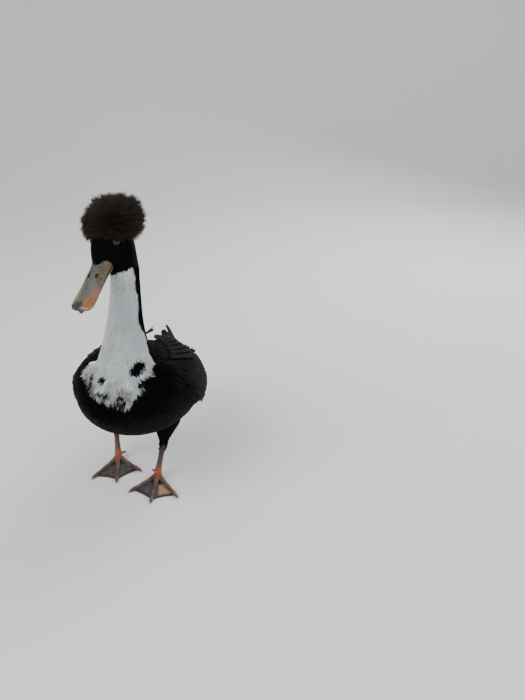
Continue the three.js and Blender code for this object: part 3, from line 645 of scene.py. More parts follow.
def scatter(spacing_at, keep, tries, seed):
    """Places spread over the skin, no two closer than the spacing asked for there."""
    draw = np.random.default_rng(seed)
    a, b, c = (skin_corners[tri_corners[:, i]] for i in range(3))
    middles = (a + b + c) / 3
    area = np.linalg.norm(np.cross(b - a, c - a), axis=1) / 2
    weight = np.where(keep(middles), area / spacing_at(middles) ** 2, 0)
    chosen = draw.choice(len(area), tries, p=weight / weight.sum())
    u, v = draw.random(tries), draw.random(tries)
    over = u + v > 1
    u[over], v[over] = 1 - u[over], 1 - v[over]
    places = a[chosen] + (b - a)[chosen] * u[:, None] + (c - a)[chosen] * v[:, None]
    gaps = spacing_at(places)
    cell = float(gaps.max())
    grid = {}
    kept = []
    for i, (place, gap) in enumerate(zip(places, gaps)):
        key = tuple((place // cell).astype(int))
        near = (
            places[other] - place
            for spot in product(*(range(k - 1, k + 2) for k in key))
            for other in grid.get(spot, ())
        )
        if not any(d[0] * d[0] + d[1] * d[1] + d[2] * d[2] < gap * gap for d in near):
            grid.setdefault(key, []).append(i)
            kept.append(i)
    return places[kept]


THIN_RING = [(-1, 0), (0, -1), (1, 0), (0, 1)]
BROAD_RING = [
    (-1, 0), (-0.5, -0.8), (0, -1.1), (0.5, -0.8), (1, 0), (0.5, 0.8), (0, 1.7), (-0.5, 0.8),
]
ROUND_RING = [(-0.9, -0.5), (0.9, -0.5), (0, 1)]
BAKE_PATCH = 0.003


def make_vanes(
    name, spine, across, up, half_width, half_thick, roots, chart, marks, ring, camber, seed
):
    """Joined feathers. Spine, across and up are feathers x stops x 3, the sizes feathers x stops."""
    count, stops = spine.shape[:2]
    sides = len(ring)
    share, rise = np.array(ring).T
    wide = half_width[:, :, None] * share
    high = half_thick[:, :, None] * rise - camber * half_width[:, :, None] * share**2
    corners = spine[:, :, None] + across[:, :, None] * wide[..., None]
    corners = corners + up[:, :, None] * high[..., None]
    one = []
    for i in range(stops - 1):
        for j in range(sides):
            k = (j + 1) % sides
            one.append((i * sides + j, i * sides + k, (i + 1) * sides + k, (i + 1) * sides + j))
    end = (stops - 1) * sides
    one.append(tuple(range(sides))[::-1])
    one.append(tuple(end + j for j in range(sides)))
    size = stops * sides
    flat = np.concatenate([np.array(f) for f in one])
    lengths = np.tile([len(f) for f in one], count)
    index = (flat[None] + np.arange(count)[:, None] * size).ravel()
    mesh = bpy.data.meshes.new(name)
    mesh.vertices.add(count * size)
    mesh.vertices.foreach_set("co", world_places(corners.reshape(-1, 3)).ravel())
    mesh.loops.add(len(index))
    mesh.loops.foreach_set("vertex_index", index.astype(np.int32))
    mesh.polygons.add(len(lengths))
    starts = np.concatenate([[0], np.cumsum(lengths)[:-1]])
    mesh.polygons.foreach_set("loop_start", starts.astype(np.int32))
    mesh.update(calc_edges=True)
    piece = bpy.data.objects.new(name, mesh)
    bpy.context.collection.objects.link(piece)
    shade_smooth(piece)
    local_u = np.tile((share + 1) / 2, stops)
    local_v = np.repeat(np.linspace(0, 1, stops), sides)
    vane_map = np.stack([np.tile(local_u, count), np.tile(local_v, count)], 1)
    bake_map = np.repeat(chart(roots), size, axis=0) + (vane_map - 0.5) * BAKE_PATCH
    for map_name, values in (("OFBake", bake_map), ("Vane", vane_map)):
        layer = mesh.uv_layers.new(name=map_name)
        layer.data.foreach_set("uv", values[index].astype(np.float32).ravel())
    draw = np.random.default_rng(seed)
    put_attribute(piece, "mark", np.repeat(marks, size))
    put_attribute(piece, "tone", np.repeat(draw.random(count), size))
    return piece


def turn_check(piece):
    """Turns all faces over if the closed feathers have a negative volume, so that they point out."""
    mesh = piece.data
    mesh.calc_loop_triangles()
    tris = np.empty(len(mesh.loop_triangles) * 3, int)
    mesh.loop_triangles.foreach_get("vertices", tris)
    places = skin_places(piece)[tris.reshape(-1, 3)]
    volume = np.einsum("ij,ij->i", places[:, 0], np.cross(places[:, 1], places[:, 2])).sum()
    if volume < 0:
        mesh.flip_normals()


def vane_coordinates(tree):
    return add_node(tree, "ShaderNodeUVMap", uv_map="Vane").outputs["UV"]


def feather_material(name, bump=0.2, roughness=0.68, tips=0.2, glow=0.0, gloss=0.03):
    material, tree, shader = new_material(name, (0.02, 0.02, 0.02), roughness)
    socket(shader, "Specular IOR Level", gloss)
    socket(shader, "Subsurface Weight", glow)
    socket(shader, "Subsurface Scale", 0.004)
    vane = axes_of(tree, vane_coordinates(tree))
    # Barbs slant out from the shaft: a wave on the length minus the distance from the shaft
    span = math_node(tree, "ABSOLUTE", math_node(tree, "SUBTRACT", vane["X"], 0.5))
    slant = math_node(tree, "MULTIPLY_ADD", span, -0.55, vane["Y"])
    barbs = math_node(tree, "SINE", math_node(tree, "MULTIPLY", slant, 150))
    add_bump(tree, shader, barbs, bump, 0.0004)
    tone = ramp(tree, attribute_node(tree, "tone"), (0, grey(0.78)), (1, grey(1.12)))
    color = mix_colors(tree, 1.0, plumage_colors(tree), tone, "MULTIPLY")
    shaft = ramp(tree, span, (0.0, grey(0.75)), (0.06, grey(1)))
    color = mix_colors(tree, 0.6, color, shaft, "MULTIPLY")
    worn = ramp(tree, vane["Y"], (0.8, grey(0)), (1, grey(1)))
    faded = mix_colors(tree, 1.0, color, (1.5, 1.35, 1.2, 1.0), "MULTIPLY")
    color = mix_colors(tree, math_node(tree, "MULTIPLY", worn, tips), color, faded)
    tree.links.new(color, shader.inputs["Base Color"])
    return material


FEATHER_OUTLINE = [0, 0.25, 0.55, 0.85, 0.95, 1], [0.35, 0.8, 1, 0.8, 0.45, 0.08]
FEATHER_THICK = [0.3, 0.12]


def lay_feathers(
    name, roots, sizes, stops, lifts, chart, material, slot,
    seed, splay=8, camber=0.2, ring=THIN_RING, slim=1.0,
):
    """Feathers that follow the skin from each root. Sizes are length and half width for each root."""
    draw = np.random.default_rng(seed)
    near, out = nearest_on_skin(roots)
    way = lie_of_coat(near, out)
    swing = np.radians(draw.normal(0, splay, len(roots)))[:, None]
    way = way * np.cos(swing) + np.cross(out, way) * np.sin(swing)
    length = sizes[:, 0] * draw.uniform(0.85, 1.15, len(roots))
    place = near
    spine, ahead, ups = [near + out * lifts(0.0)], [way], [out]
    for before, here in zip(stops, stops[1:]):
        place = place + way * (length * (here - before))[:, None]
        place, normal = nearest_on_skin(place)
        blend = unit(0.7 * way + 0.3 * lie_of_coat(place, normal))
        way = unit(blend - normal * (blend * normal).sum(1)[:, None])
        broad = sizes[:, 1] / sizes[:, 1].mean()
        spine.append(place + normal * lifts(here) * broad[:, None] ** 0.5)
        ahead.append(way)
        ups.append(normal)
    spine, ahead, ups = (np.stack(v, 1) for v in (spine, ahead, ups))
    across = unit(np.cross(ahead, ups))
    profile = np.interp(stops, *FEATHER_OUTLINE) ** slim
    half_width = sizes[:, 1, None] * profile[None] * draw.uniform(0.88, 1.12, (len(roots), 1))
    half_thick = np.minimum(np.interp(stops, [0, 1], FEATHER_THICK)[None], half_width * 0.8)
    # A feather is all black or all white by where its outer part shows
    shares = white_share(spine[:, -1] * 0.7 + near * 0.3)
    shares = smooth_step(0.32, 0.68, shares + draw.normal(0, 0.07, len(roots)))
    piece = make_vanes(
        name, spine, across, ups, half_width, half_thick, near, chart, shares, ring, camber, seed
    )
    turn_check(piece)
    piece.data.materials.append(material)
    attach(piece, "root")
    return piece


def chart_place(x, y, share):
    """A place on the bake map, from a heading round the bird and a share along it."""
    turn = np.arctan2(x, y) / (2 * pi) + 0.5
    return np.stack([0.03 + 0.94 * turn, 0.03 + 0.94 * np.clip(share, 0, 1)], 1)


def body_chart(places):
    local = out_of_frame(body_frame, places)
    return chart_place(local[:, 0], local[:, 2], (local[:, 1] + 165) / 380)


def neck_chart(places):
    return chart_place(places[:, 0] - 19, -(places[:, 1] + 90), (places[:, 2] - 150) / 270)


def head_chart(places):
    local = unit(out_of_frame(head_frame, places))
    return chart_place(local[:, 0], local[:, 2], np.arccos(np.clip(-local[:, 1], -1, 1)) / pi)


def on_head(places):
    local = out_of_frame(head_frame, places)
    return (places[:, 2] > 384) | ((local[:, 1] < 6) & (local[:, 2] > -28) & (places[:, 2] > 366))


def on_neck(places):
    x, y, z = places.T
    fore = (y < -88) & (z > 178) & (abs(x - 18) < 62)
    return ((z > 236) & (y < -30) | fore) & ~on_head(places)


def on_thigh(places):
    close = np.zeros(len(places), bool)
    for leg in LEGS.values():
        hock, hip = thigh_line(leg)
        along = hip - hock
        share = np.clip((places - hock) @ along / (along @ along), 0, 1)
        reach = np.linalg.norm(places - hock - share[:, None] * along, axis=1)
        close |= (reach < 10 + 17 * share) & (places[:, 2] < 96) & (share < 0.62)
    return close


def on_torso(places):
    return ~(on_head(places) | on_neck(places) | on_thigh(places))


black_feathers = feather_material("black_contour_feathers")
BODY_STOPS = np.array([0, 0.3, 0.62, 0.88, 1])
FINE_STOPS = np.array([0, 0.35, 0.75, 1])


def lay_even_coat(name, feather, keep, tries, *settings, **more):
    """A coat of feathers of one size and spacing, all over one part of the skin."""
    roots = scatter(lambda places: np.full(len(places), feather["spacing"]), keep, tries, more["seed"])
    sizes = np.tile([feather["length"], feather["half_width"]], (len(roots), 1))
    lay_feathers(name, roots, sizes, *settings, **more)


BODY_FEATHER = {"spacing": 4.1, "length": 25, "half_width": 6.2}
THIGH_FEATHER = {"spacing": 3, "length": 11, "half_width": 3.2}
lay_even_coat(
    "body_feathers", BODY_FEATHER, on_torso, 32000, BODY_STOPS, lambda s: -0.5 + 3.6 * s**0.75,
    body_chart, black_feathers, "black_plumage", seed=5,
)
lay_even_coat(
    "thigh_feathers", THIGH_FEATHER, on_thigh, 5000, FINE_STOPS, lambda s: -0.4 + 2.6 * s,
    body_chart, black_feathers, "black_plumage", seed=6,
)


# Neck and bib coat: short, dense and soft, white in front and black down the nape, the feathers
# growing from a few millimetres at the throat to broad ones over the breast. Loose barbs lie over
# them and blur their edges.
NECK_FEATHER = {"spacing": 1.5, "length": 8.5, "half_width": 2.1}
NECK_DOWN = {"spacing": 0.62, "length": 7, "half_width": 0.26, "most": 13000}
BIB_TOP = 262


def neck_spacing(places):
    return NECK_FEATHER["spacing"] + 1.2 * (1 - smooth_step(200, 300, places[:, 2]))


def neck_sizes(roots, feather):
    scale = neck_spacing(roots) / NECK_FEATHER["spacing"]
    return np.stack([feather["length"] * scale, feather["half_width"] * scale], 1)


soft_feathers = feather_material(
    "soft_neck_feathers", bump=0.12, roughness=0.8, tips=0.0, glow=0.25, gloss=0.03
)
for part, keep, tries, seed in (
    ("neck", lambda p: on_neck(p) & (p[:, 2] >= BIB_TOP), 40000, 7),
    ("breast", lambda p: on_neck(p) & (p[:, 2] < BIB_TOP), 30000, 9),
):
    roots = scatter(neck_spacing, keep, tries, seed)
    lay_feathers(
        f"{part}_feathers", roots, neck_sizes(roots, NECK_FEATHER), FINE_STOPS,
        lambda s: -0.5 + 1.9 * s**0.8, neck_chart, soft_feathers, "white_plumage", seed=seed, splay=9,
    )
    close = scatter(lambda p: neck_spacing(p) * NECK_DOWN["spacing"], keep, tries * 3, seed + 50)
    roots = close[: NECK_DOWN["most"]]
    lay_feathers(
        f"{part}_down", roots, neck_sizes(roots, NECK_DOWN), np.array([0, 0.5, 1]),
        lambda s: 0.2 + 1.9 * s, neck_chart, soft_feathers, "white_plumage",
        seed=seed + 50, splay=16, camber=0, ring=ROUND_RING, slim=0.6,
    )


# Face and head coat: the shortest feathers of all, close and flat, running back from the bill and
# round the eyes.
FACE_FEATHER = {"spacing": 1.25, "length": 5.2, "half_width": 1.35}
BARE_EYE = {"place": (EYE["side"] + 2.4, -EYE["forward"] - 0.4, EYE["up"] + 1), "radius": 5.6}


def on_face(places):
    local = out_of_frame(head_frame, places)
    local[:, 0] = abs(local[:, 0])
    near_eye = ((local - BARE_EYE["place"]) ** 2).sum(1) < BARE_EYE["radius"] ** 2
    return on_head(places) & ~near_eye


fine_feathers = feather_material("fine_face_feathers", roughness=0.7, tips=0.15, gloss=0.04)
lay_even_coat(
    "head_feathers", FACE_FEATHER, on_face, 26000, FINE_STOPS, lambda s: -0.3 + 1.7 * s,
    head_chart, fine_feathers, "black_plumage", seed=8, splay=9,
)


# Crest: a round puff of loose plumes that stand out all ways from a knob on the crown. Each has a
# soft shaft with free barbs that don't hook together, so the whole ball looks like down.
CREST = {"width": 83, "depth": 80, "height": 61}
CREST_FULLNESS = 3.1
BARB_WIDTHS = [0.38, 0.28, 0.07]
crest_middle = np.array((3, HEAD["length"] * 0.51, HEAD["height"] * 0.38))
crest_reach = np.array((CREST["width"], CREST["depth"], CREST["height"])) / 2


def crest_share(places):
    """How far out each place is, in a ball that is fuller than round between its axes."""
    return (abs(places) ** CREST_FULLNESS).sum(-1, keepdims=True) ** (1 / CREST_FULLNESS)


def crest_plumes(name, plumes, barbs, low, seed, reach_share):
    draw = np.random.default_rng(seed)
    index = np.arange(plumes)
    turn = index * pi * (3 - sqrt(5))
    # Plumes hang lowest at the sides and back, and leave the face clear
    lowest = low + 0.95 * np.maximum(0, -np.sin(turn))
    rise = 1 + (lowest - 1) * (index + 0.5) / plumes
    ring = np.sqrt(1 - rise**2)
    out = np.stack([ring * np.cos(turn), ring * np.sin(turn), rise], 1)
    out = unit(out + draw.normal(0, 0.09, out.shape))
    tips = out * crest_reach * (1 / crest_share(out)) * draw.uniform(*reach_share, (plumes, 1))
    sway = (draw.random((plumes, 3)) - (0.5, 0.5, 0.65)) * 9

    def shaft(s):
        return tips * (0.25 + 0.75 * s)[:, None] + sway * (s**2 * 0.7)[:, None]

    all_spines, roots = [], []
    for _ in range(barbs):
        start = 0.12 + 0.7 * draw.random(plumes) ** 0.75
        begin = shaft(start)
        along = unit(shaft(start + 0.05) - begin)
        aside = unit(np.cross(along, draw.normal(0, 1, (plumes, 3))))
        lean = np.radians(draw.uniform(8, 34, plumes))[:, None]
        way = along * np.cos(lean) + aside * np.sin(lean)
        length = (draw.uniform(8, 16, plumes) * (1.15 - 0.45 * start))[:, None]
        curl = along * length * 0.22
        bent = begin + way * length * 0.55 + curl * 0.25
        all_spines.append(np.stack([begin, bent, begin + way * length * 0.92 + curl], 1))
        roots.append(tips)
    spine = np.concatenate(all_spines)
    # No barb leaves the ball that the crest fills
    spine = spine / np.maximum(crest_share(spine / crest_reach) / 1.02, 1)
    spine = in_frame(head_frame, (spine + crest_middle).reshape(-1, 3)).reshape(spine.shape)
    roots = in_frame(head_frame, np.concatenate(roots) * 0.3 + crest_middle)
    ahead = unit(np.gradient(spine, axis=1))
    across = unit(np.cross(ahead, draw.normal(0, 1, (len(spine), 1, 3))))
    up = np.cross(across, ahead)
    half_width = np.tile(BARB_WIDTHS, (len(spine), 1)) * draw.uniform(0.75, 1.3, (len(spine), 1))
    piece = make_vanes(
        name, spine, across, up, half_width, half_width * 0.6, roots, head_chart,
        np.zeros(len(spine)), ROUND_RING, 0, seed,
    )
    turn_check(piece)
    return piece


crest_material, tree, shader = new_material("crest_down", (0.03, 0.022, 0.017), 0.75)
socket(shader, "Sheen Weight", 0.06)
socket(shader, "Sheen Roughness", 0.5)
socket(shader, "Sheen Tint", (0.85, 0.62, 0.45, 1))
socket(shader, "Specular IOR Level", 0.25)
crest_tone = ramp(
    tree, attribute_node(tree, "tone"),
    (0, (0.007, 0.0055, 0.005)), (0.6, (0.014, 0.0105, 0.0085)), (1, (0.028, 0.02, 0.015)),
)
toward_tip = remap(tree, axes_of(tree, vane_coordinates(tree))["Y"], 0.45, 1.0)
tip_tone = mix_colors(tree, 1.0, crest_tone, (2.2, 1.9, 1.7, 1.0), "MULTIPLY")
crest_color = mix_colors(tree, toward_tip, crest_tone, tip_tone)
tree.links.new(crest_color, shader.inputs["Base Color"])
crest_inner = crest_plumes("crest_plumes", 340, 42, -0.75, 21, (0.78, 0.91))
crest_outer = crest_plumes("crest_outer_plumes", 930, 15, -0.84, 22, (0.84, 1.02))
for piece in (crest_inner, crest_outer):
    piece.data.materials.append(crest_material)
    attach(piece, "root")
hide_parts("crest")
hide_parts("crest")


# Wings, folded: stiff flight feathers whose tips cross over the rump, then tiers of shorter
# coverts, and small feathers over the arm. Long vanes of horn, with a shaft that shows as a ridge.
VANE_STOPS = 13
VANE_THICKNESS = 0.7
VANE_CAMBER = 0.12
VANE_OUTLINE = [0, 0.12, 0.4, 0.8, 0.93, 0.98, 1], [0.35, 0.7, 1, 0.88, 0.58, 0.3, 0.06]


def long_vanes(name, spines, acrosses, widths, seed):
    spine = np.stack(spines)
    count = len(spine)
    s = np.linspace(0, 1, VANE_STOPS)
    ahead = unit(np.gradient(spine, axis=1))
    across = np.stack(acrosses)
    across = unit(across - ahead * (across * ahead).sum(2)[..., None])
    up = unit(np.cross(across, ahead))
    half_width = np.array(widths)[:, None] / 2 * np.interp(s, *VANE_OUTLINE)
    half_thick = np.tile(np.interp(s, [0, 1], [VANE_THICKNESS / 2, VANE_THICKNESS / 5]), (count, 1))
    piece = make_vanes(
        name, spine, across, up, half_width, half_thick, spine[:, VANE_STOPS // 2], body_chart,
        np.zeros(count), BROAD_RING, VANE_CAMBER, seed,
    )
    turn_check(piece)
    return piece


WING_TIERS = [  # count, first and last root, first and last tip as [t, degrees, lift], width, tilt
    (9, [[0.6, 38, -4], [0.56, 27, -4.4]], [[0.955, 60, 2.2], [0.86, 45, -0.6]], 13.5, 0.1),
    (11, [[0.5, 22, -3.4], [0.18, 0, -3.4]], [[0.79, 26, -0.6], [0.47, -24, -0.2]], 16, 0.1),
    (6, [[0.46, 68, -3], [0.44, 36, -3]], [[0.84, 71, 1.0], [0.75, 40, 0.2]], 16, -0.1),
    (11, [[0.42, 30, -2], [0.12, 6, -2.4]], [[0.62, 22, 1.0], [0.32, -10, 1.2]], 15, 0.12),
    (13, [[0.34, 36, -1.5], [0.08, 16, -2]], [[0.52, 30, 1.9], [0.23, 4, 2]], 13, 0.12),
    (7, [[0.36, 78, -2], [0.12, 50, -2]], [[0.6, 76, 2.0], [0.35, 38, 2.4]], 17, -0.08),
]


def wing_feather_lines(side, tier, draw):
    count, root, tip, width, tilt = tier
    spines, acrosses, widths = [], [], []
    s = np.linspace(0, 1, VANE_STOPS)
    for i in range(count):
        share = i / (count - 1)
        begin = np.array(root[0]) * (1 - share) + np.array(root[1]) * share
        end = np.array(tip[0]) * (1 - share) + np.array(tip[1]) * share
        end = end + draw.normal(0, 1, 3) * (0.003, 0.5, 0.08)
        t = begin[0] + (end[0] - begin[0]) * s
        degrees = begin[1] + (end[1] - begin[1]) * s
        lift = begin[2] + (end[2] - begin[2]) * np.sqrt(s)

        def at(more_degrees, more_lift):
            turn = np.radians(degrees + more_degrees)
            turn = turn if side > 0 else pi - turn
            return wing_form.point(t, turn, lift + more_lift)

        here = at(0, 0)
        rising = unit(at(3, 0) - here)
        out = unit(at(0, 4) - here)
        spines.append(here)
        acrosses.append((rising + out * tilt) * side)
        widths.append(width * draw.uniform(0.93, 1.07))
    return spines, acrosses, widths


flight_material = feather_material("black_flight_feathers", bump=0.3, roughness=0.6, gloss=0.032)
for wing_name, side in (("left", 1), ("right", -1)):
    draw = np.random.default_rng(30 + side)
    tiers = []
    for number, tier in enumerate(WING_TIERS):
        spines, acrosses, widths = wing_feather_lines(side, tier, draw)
        tiers.append(long_vanes(f"tier_{number}", spines, acrosses, widths, 40 + number))
    wing = join_pieces(f"wing_{wing_name}_feathers", tiers)
    wing.data.materials.clear()
    wing.data.materials.append(flight_material)
    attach(wing, "root")
    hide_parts(f"wing_{wing_name}")


# Tail: a short fan of stiff feathers, with shorter coverts above and below its root. It is seen
# only from the sides and back.
def tail_row(count, length, width, spread, start, rise, lift, droop, draw):
    spines, acrosses, widths = [], [], []
    s = np.linspace(0, 1, VANE_STOPS)
    for i in range(count):
        side = -1 + 2 * i / (count - 1)
        yaw = radians(spread) * side
        reach = length * (1 - 0.2 * side * side) * draw.uniform(0.97, 1.03)
        x = side * 14 + sin(yaw) * reach * s
        y = RUMP + start + cos(yaw) * reach * s
        z = rise - abs(side) * droop + lift * s - abs(side) * droop * s * 0.5 + (i % 2) * 0.8
        spines.append(in_frame(body_frame, np.stack([x, y, z], 1)))
        way = np.array(body_frame.to_3x3()) @ np.array((cos(yaw), -sin(yaw), -0.13 * side))
        acrosses.append(np.tile(way, (VANE_STOPS, 1)))
        widths.append(width)
    return spines, acrosses, widths


TAIL_TIERS = [  # count, length, width, spread, start, rise, lift and droop
    (14, 86, 18, 34, 20, 19, 20, 9), (7, 58, 17, 26, 10, 26, 12, 10), (7, 40, 16, 22, 4, 30, 5, 11),
    (7, 60, 17, 24, 8, 5, 18, -6), (7, 42, 16, 20, 2, -4, 14, -8),
]
draw = np.random.default_rng(60)
rows = [
    long_vanes(f"row_{number}", *tail_row(*tier, draw), 60 + number)
    for number, tier in enumerate(TAIL_TIERS)
]
tail = join_pieces("tail_feathers", rows)
tail.data.materials.clear()
tail.data.materials.append(flight_material)
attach(tail, "root")
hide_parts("tail")


# Bill: a broad, flat spoon of horn under a thin skin. The upper half overhangs the lower, is pierced
# by two nostrils near its root, and ends in a hard dark nail.
BILL = {"length": 76, "width": 34, "height": 20}
BILL_DROP = 1
bill_frame = (
    head_frame
    @ Matrix.Translation((0, -HEAD["length"] * 0.43, -1.7))
    @ Matrix.Rotation(radians(BILL_DROP), 4, "X")
)
bill_right = np.array(bill_frame.to_3x3() @ Vector((-1, 0, 0)))


def bill_stations(rows):
    places = in_frame(bill_frame, [(0, -along * BILL["length"], rise) for along, rise, *_ in rows])
    sizes = [(w * BILL["width"] / 2, u * BILL["height"], d * BILL["height"]) for *_, w, u, d in rows]
    return np.hstack([places, sizes])


UPPER_ROWS = [
    (-0.22, -4.5, 0, 0, 0), (-0.12, -4.5, 0.76, 0.9, 0.16), (0.06, -4.5, 0.76, 0.68, 0.2),
    (0.28, -4.5, 0.84, 0.5, 0.17), (0.54, -4.5, 0.93, 0.3, 0.15), (0.78, -4.2, 1, 0.21, 0.13),
    (0.94, -4, 0.86, 0.15, 0.14), (1, -4.6, 0, 0, 0),
]
LOWER_ROWS = [
    (-0.2, -7.5, 0, 0, 0), (-0.1, -7.8, 0.74, 0.1, 0.44), (0.14, -7.9, 0.74, 0.1, 0.34),
    (0.5, -7.6, 0.8, 0.1, 0.22), (0.8, -7.2, 0.84, 0.1, 0.14), (0.93, -7, 0.66, 0.1, 0.12),
    (0.97, -7, 0, 0, 0),
]
MOUTH_RISE = -7.2
MOUTH_GAP = 0.35
NOSTRIL = {"side": 5.8, "along": -21.5, "half_width": 2, "half_length": 3.8, "depth": 3.4}


def shape_upper_bill(local):
    """Cuts the floor flat, sinks the nostrils and hollows the spoon beside its middle."""
    local[:, 2] = np.maximum(local[:, 2], MOUTH_RISE)
    for side in (1, -1):
        pit = local[:, :2] - (side * NOSTRIL["side"], NOSTRIL["along"])
        pit = pit / (NOSTRIL["half_width"], NOSTRIL["half_length"])
        gap = pit[:, 0] ** 2 + pit[:, 1] ** 2
        on_top = local[:, 2] > -3
        local[:, 2] -= NOSTRIL["depth"] * np.sqrt(np.clip(1 - gap, 0, 1) * on_top)
        on_top = local[:, 2] > -3
        local[:, 2] += 0.25 * np.exp(-((np.sqrt(gap) - 1.25) ** 2) / 0.05) * on_top
    spoon = smooth_step(0.35, 0.8, -local[:, 1] / BILL["length"]) * (local[:, 2] > -5)
    local[:, 2] -= spoon * 0.7 * np.exp(-((abs(local[:, 0]) - 8) ** 2) / 12)


def shape_lower_bill(local):
    local[:, 2] = np.minimum(local[:, 2], MOUTH_RISE - MOUTH_GAP)


def bill_half(name, rows, around, along, shape_half):
    corners, faces = Form(bill_stations(rows), side=bill_right).surface(around, along)
    local = out_of_frame(bill_frame, corners)
    shape_half(local)
    return make_object(name, in_frame(bill_frame, local), faces)


def turned_coordinates(tree, matrix):
    """Object coordinates turned into a piece's own millimetres."""
    moved = Matrix.Translation(Vector(SHIFT * MM)) @ Matrix.Diagonal((MM, MM, MM, 1)) @ matrix
    node = add_node(tree, "ShaderNodeMapping", vector_type="TEXTURE")
    socket(node, "Location", moved.translation)
    socket(node, "Rotation", moved.to_euler())
    socket(node, "Scale", (MM, MM, MM))
    tree.links.new(object_coordinates(tree), node.inputs["Vector"])
    return node.outputs["Vector"]


# The bill's colours: each is one tone, or a ramp from the dark to the light of its mottling
SLATE = [
    (0.3, (0.0217, 0.026, 0.0285)), (0.52, (0.0527, 0.0589, 0.0527)), (0.7, (0.093, 0.0961, 0.0682)),
]
GREY_GREEN = (0.35, (0.0434, 0.0589, 0.0465)), (0.65, (0.093, 0.112, 0.0806))
OLIVE = (0.35, (0.0558, 0.0372, 0.0186)), (0.65, (0.149, 0.112, 0.0403))
ORANGE = (0.35, (0.174, 0.0558, 0.0186)), (0.65, (0.291, 0.118, 0.031))
CREAM, PINK = (0.286, 0.224, 0.0816, 1.0), (0.204, 0.102, 0.0816, 1.0)
# The tip's dark: partly the bill's own colour beside the nail, partly painted shade
TIP_DARK_AND_SHADE = (0.0136, 0.0143, 0.0184, 1.0)
# The nostril's rim colour, and the near-black painted shade inside its opening
NOSTRIL_RIM, NOSTRIL_SHADE = (0.055, 0.05, 0.042, 1.0), (0.006, 0.005, 0.005, 1.0)

bill_material, tree, shader = new_material("bill_skin", (0.4, 0.4, 0.25), 0.42)
place = turned_coordinates(tree, bill_frame)
mottle = noise_node(tree, 0.3, 5, place)
across, along, _ = axes_of(tree, place)
# Places are pushed about by the mottling, so that no patch of colour has a ruled edge
side_place = math_node(tree, "MULTIPLY_ADD", mottle, 8, across)
long_place = math_node(tree, "MULTIPLY_ADD", mottle, 18, along)


def bill_patch(base, color, long_limits, side_limits):
    """Lays a patch of colour that fades in between the two limits each way."""
    share = math_node(
        tree, "MULTIPLY", remap(tree, long_place, *long_limits), remap(tree, side_place, *side_limits)
    )
    return mix_colors(tree, share, base, color)


# Slate at the root and grey-green further out, with cream-yellow along the right edge and olive by
# the left corner of the mouth. Pink turns to orange towards the left of the tip.
base = bill_patch(ramp(tree, mottle, *SLATE), ramp(tree, mottle, *GREY_GREEN), (-8, -30), (13, 6))
base = mix_colors(tree, remap(tree, side_place, -4.5, -9.5), base, CREAM)
base = bill_patch(base, ramp(tree, mottle, *OLIVE), (-34, 0), (9, 15))
base = bill_patch(base, PINK, (-16, -40), (3, 14))
base = bill_patch(base, ramp(tree, mottle, *ORANGE), (-40, -55), (-3, 9))
# The right of the tip goes dark round the nail: partly the bill's own dark, partly painted shade
base = bill_patch(base, TIP_DARK_AND_SHADE, (-49, -59), (9, 2))

# The square of the distance from the nearer nostril, where 1 is its rim
gaps = []
for value, middle, half in (
    (math_node(tree, "ABSOLUTE", across), NOSTRIL["side"], NOSTRIL["half_width"]),
    (along, NOSTRIL["along"], NOSTRIL["half_length"]),
):
    gap = math_node(tree, "MULTIPLY_ADD", value, 1 / half, -middle / half)
    gaps.append(math_node(tree, "MULTIPLY", gap, gap))
nostril_gap = math_node(tree, "ADD", *gaps)
rim = math_node(tree, "MULTIPLY", remap(tree, nostril_gap, 3.4, 1.4), remap(tree, along, -20, -25))
base = mix_colors(tree, rim, base, NOSTRIL_RIM)
# The core of each nostril pit is painted near-black: painted shade of the open nostril
base = mix_colors(tree, remap(tree, nostril_gap, 1.3, 0.6), base, NOSTRIL_SHADE)
tree.links.new(base, shader.inputs["Base Color"])
socket(shader, "Coat Weight", 0.15)
add_bump(tree, shader, noise_node(tree, 1.1, 6, place), 0.25, 0.0006)

bill_upper = bill_half("upper_bill", UPPER_ROWS, 150, 170, shape_upper_bill)
bill_lower = bill_half("lower_bill", LOWER_ROWS, 64, 48, shape_lower_bill)
for piece, node in ((bill_upper, "bill_upper"), (bill_lower, "bill_lower")):
    outward(piece)
    piece.data.materials.append(bill_material)
    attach(piece, "root")
    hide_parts(node)

horn_material, tree, shader = new_material("dark_horn", (0.022, 0.019, 0.017), 0.35)
horn_tone = ramp(
    tree, noise_node(tree, 260, 4), (0.35, (0.014, 0.012, 0.011)), (0.7, (0.05, 0.042, 0.034))
)
tree.links.new(horn_tone, shader.inputs["Base Color"])
bpy.ops.mesh.primitive_uv_sphere_add(segments=32, ring_count=20, radius=1)
nail = bpy.context.object
nail.name = "bill_nail_piece"
NAIL = {"half_width": 4.7, "half_length": 6.0, "half_height": 3.3, "rise": -3.7, "hook": 66}
half_sizes = (NAIL["half_width"], NAIL["half_length"], NAIL["half_height"], 1)
nail_frame = Matrix.Translation((0, -BILL["length"] * 0.94, NAIL["rise"])) @ Matrix.Diagonal(half_sizes)
local = np.array([nail_frame @ corner.co for corner in nail.data.vertices])
local[:, 2] = np.maximum(local[:, 2], MOUTH_RISE - 1.2)
local[:, 2] -= 0.03 * np.maximum(-local[:, 1] - NAIL["hook"], 0) ** 2
move_corners(nail, in_frame(bill_frame, local))
nail.data.materials.append(horn_material)
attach(nail, "root")
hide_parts("bill_nail")


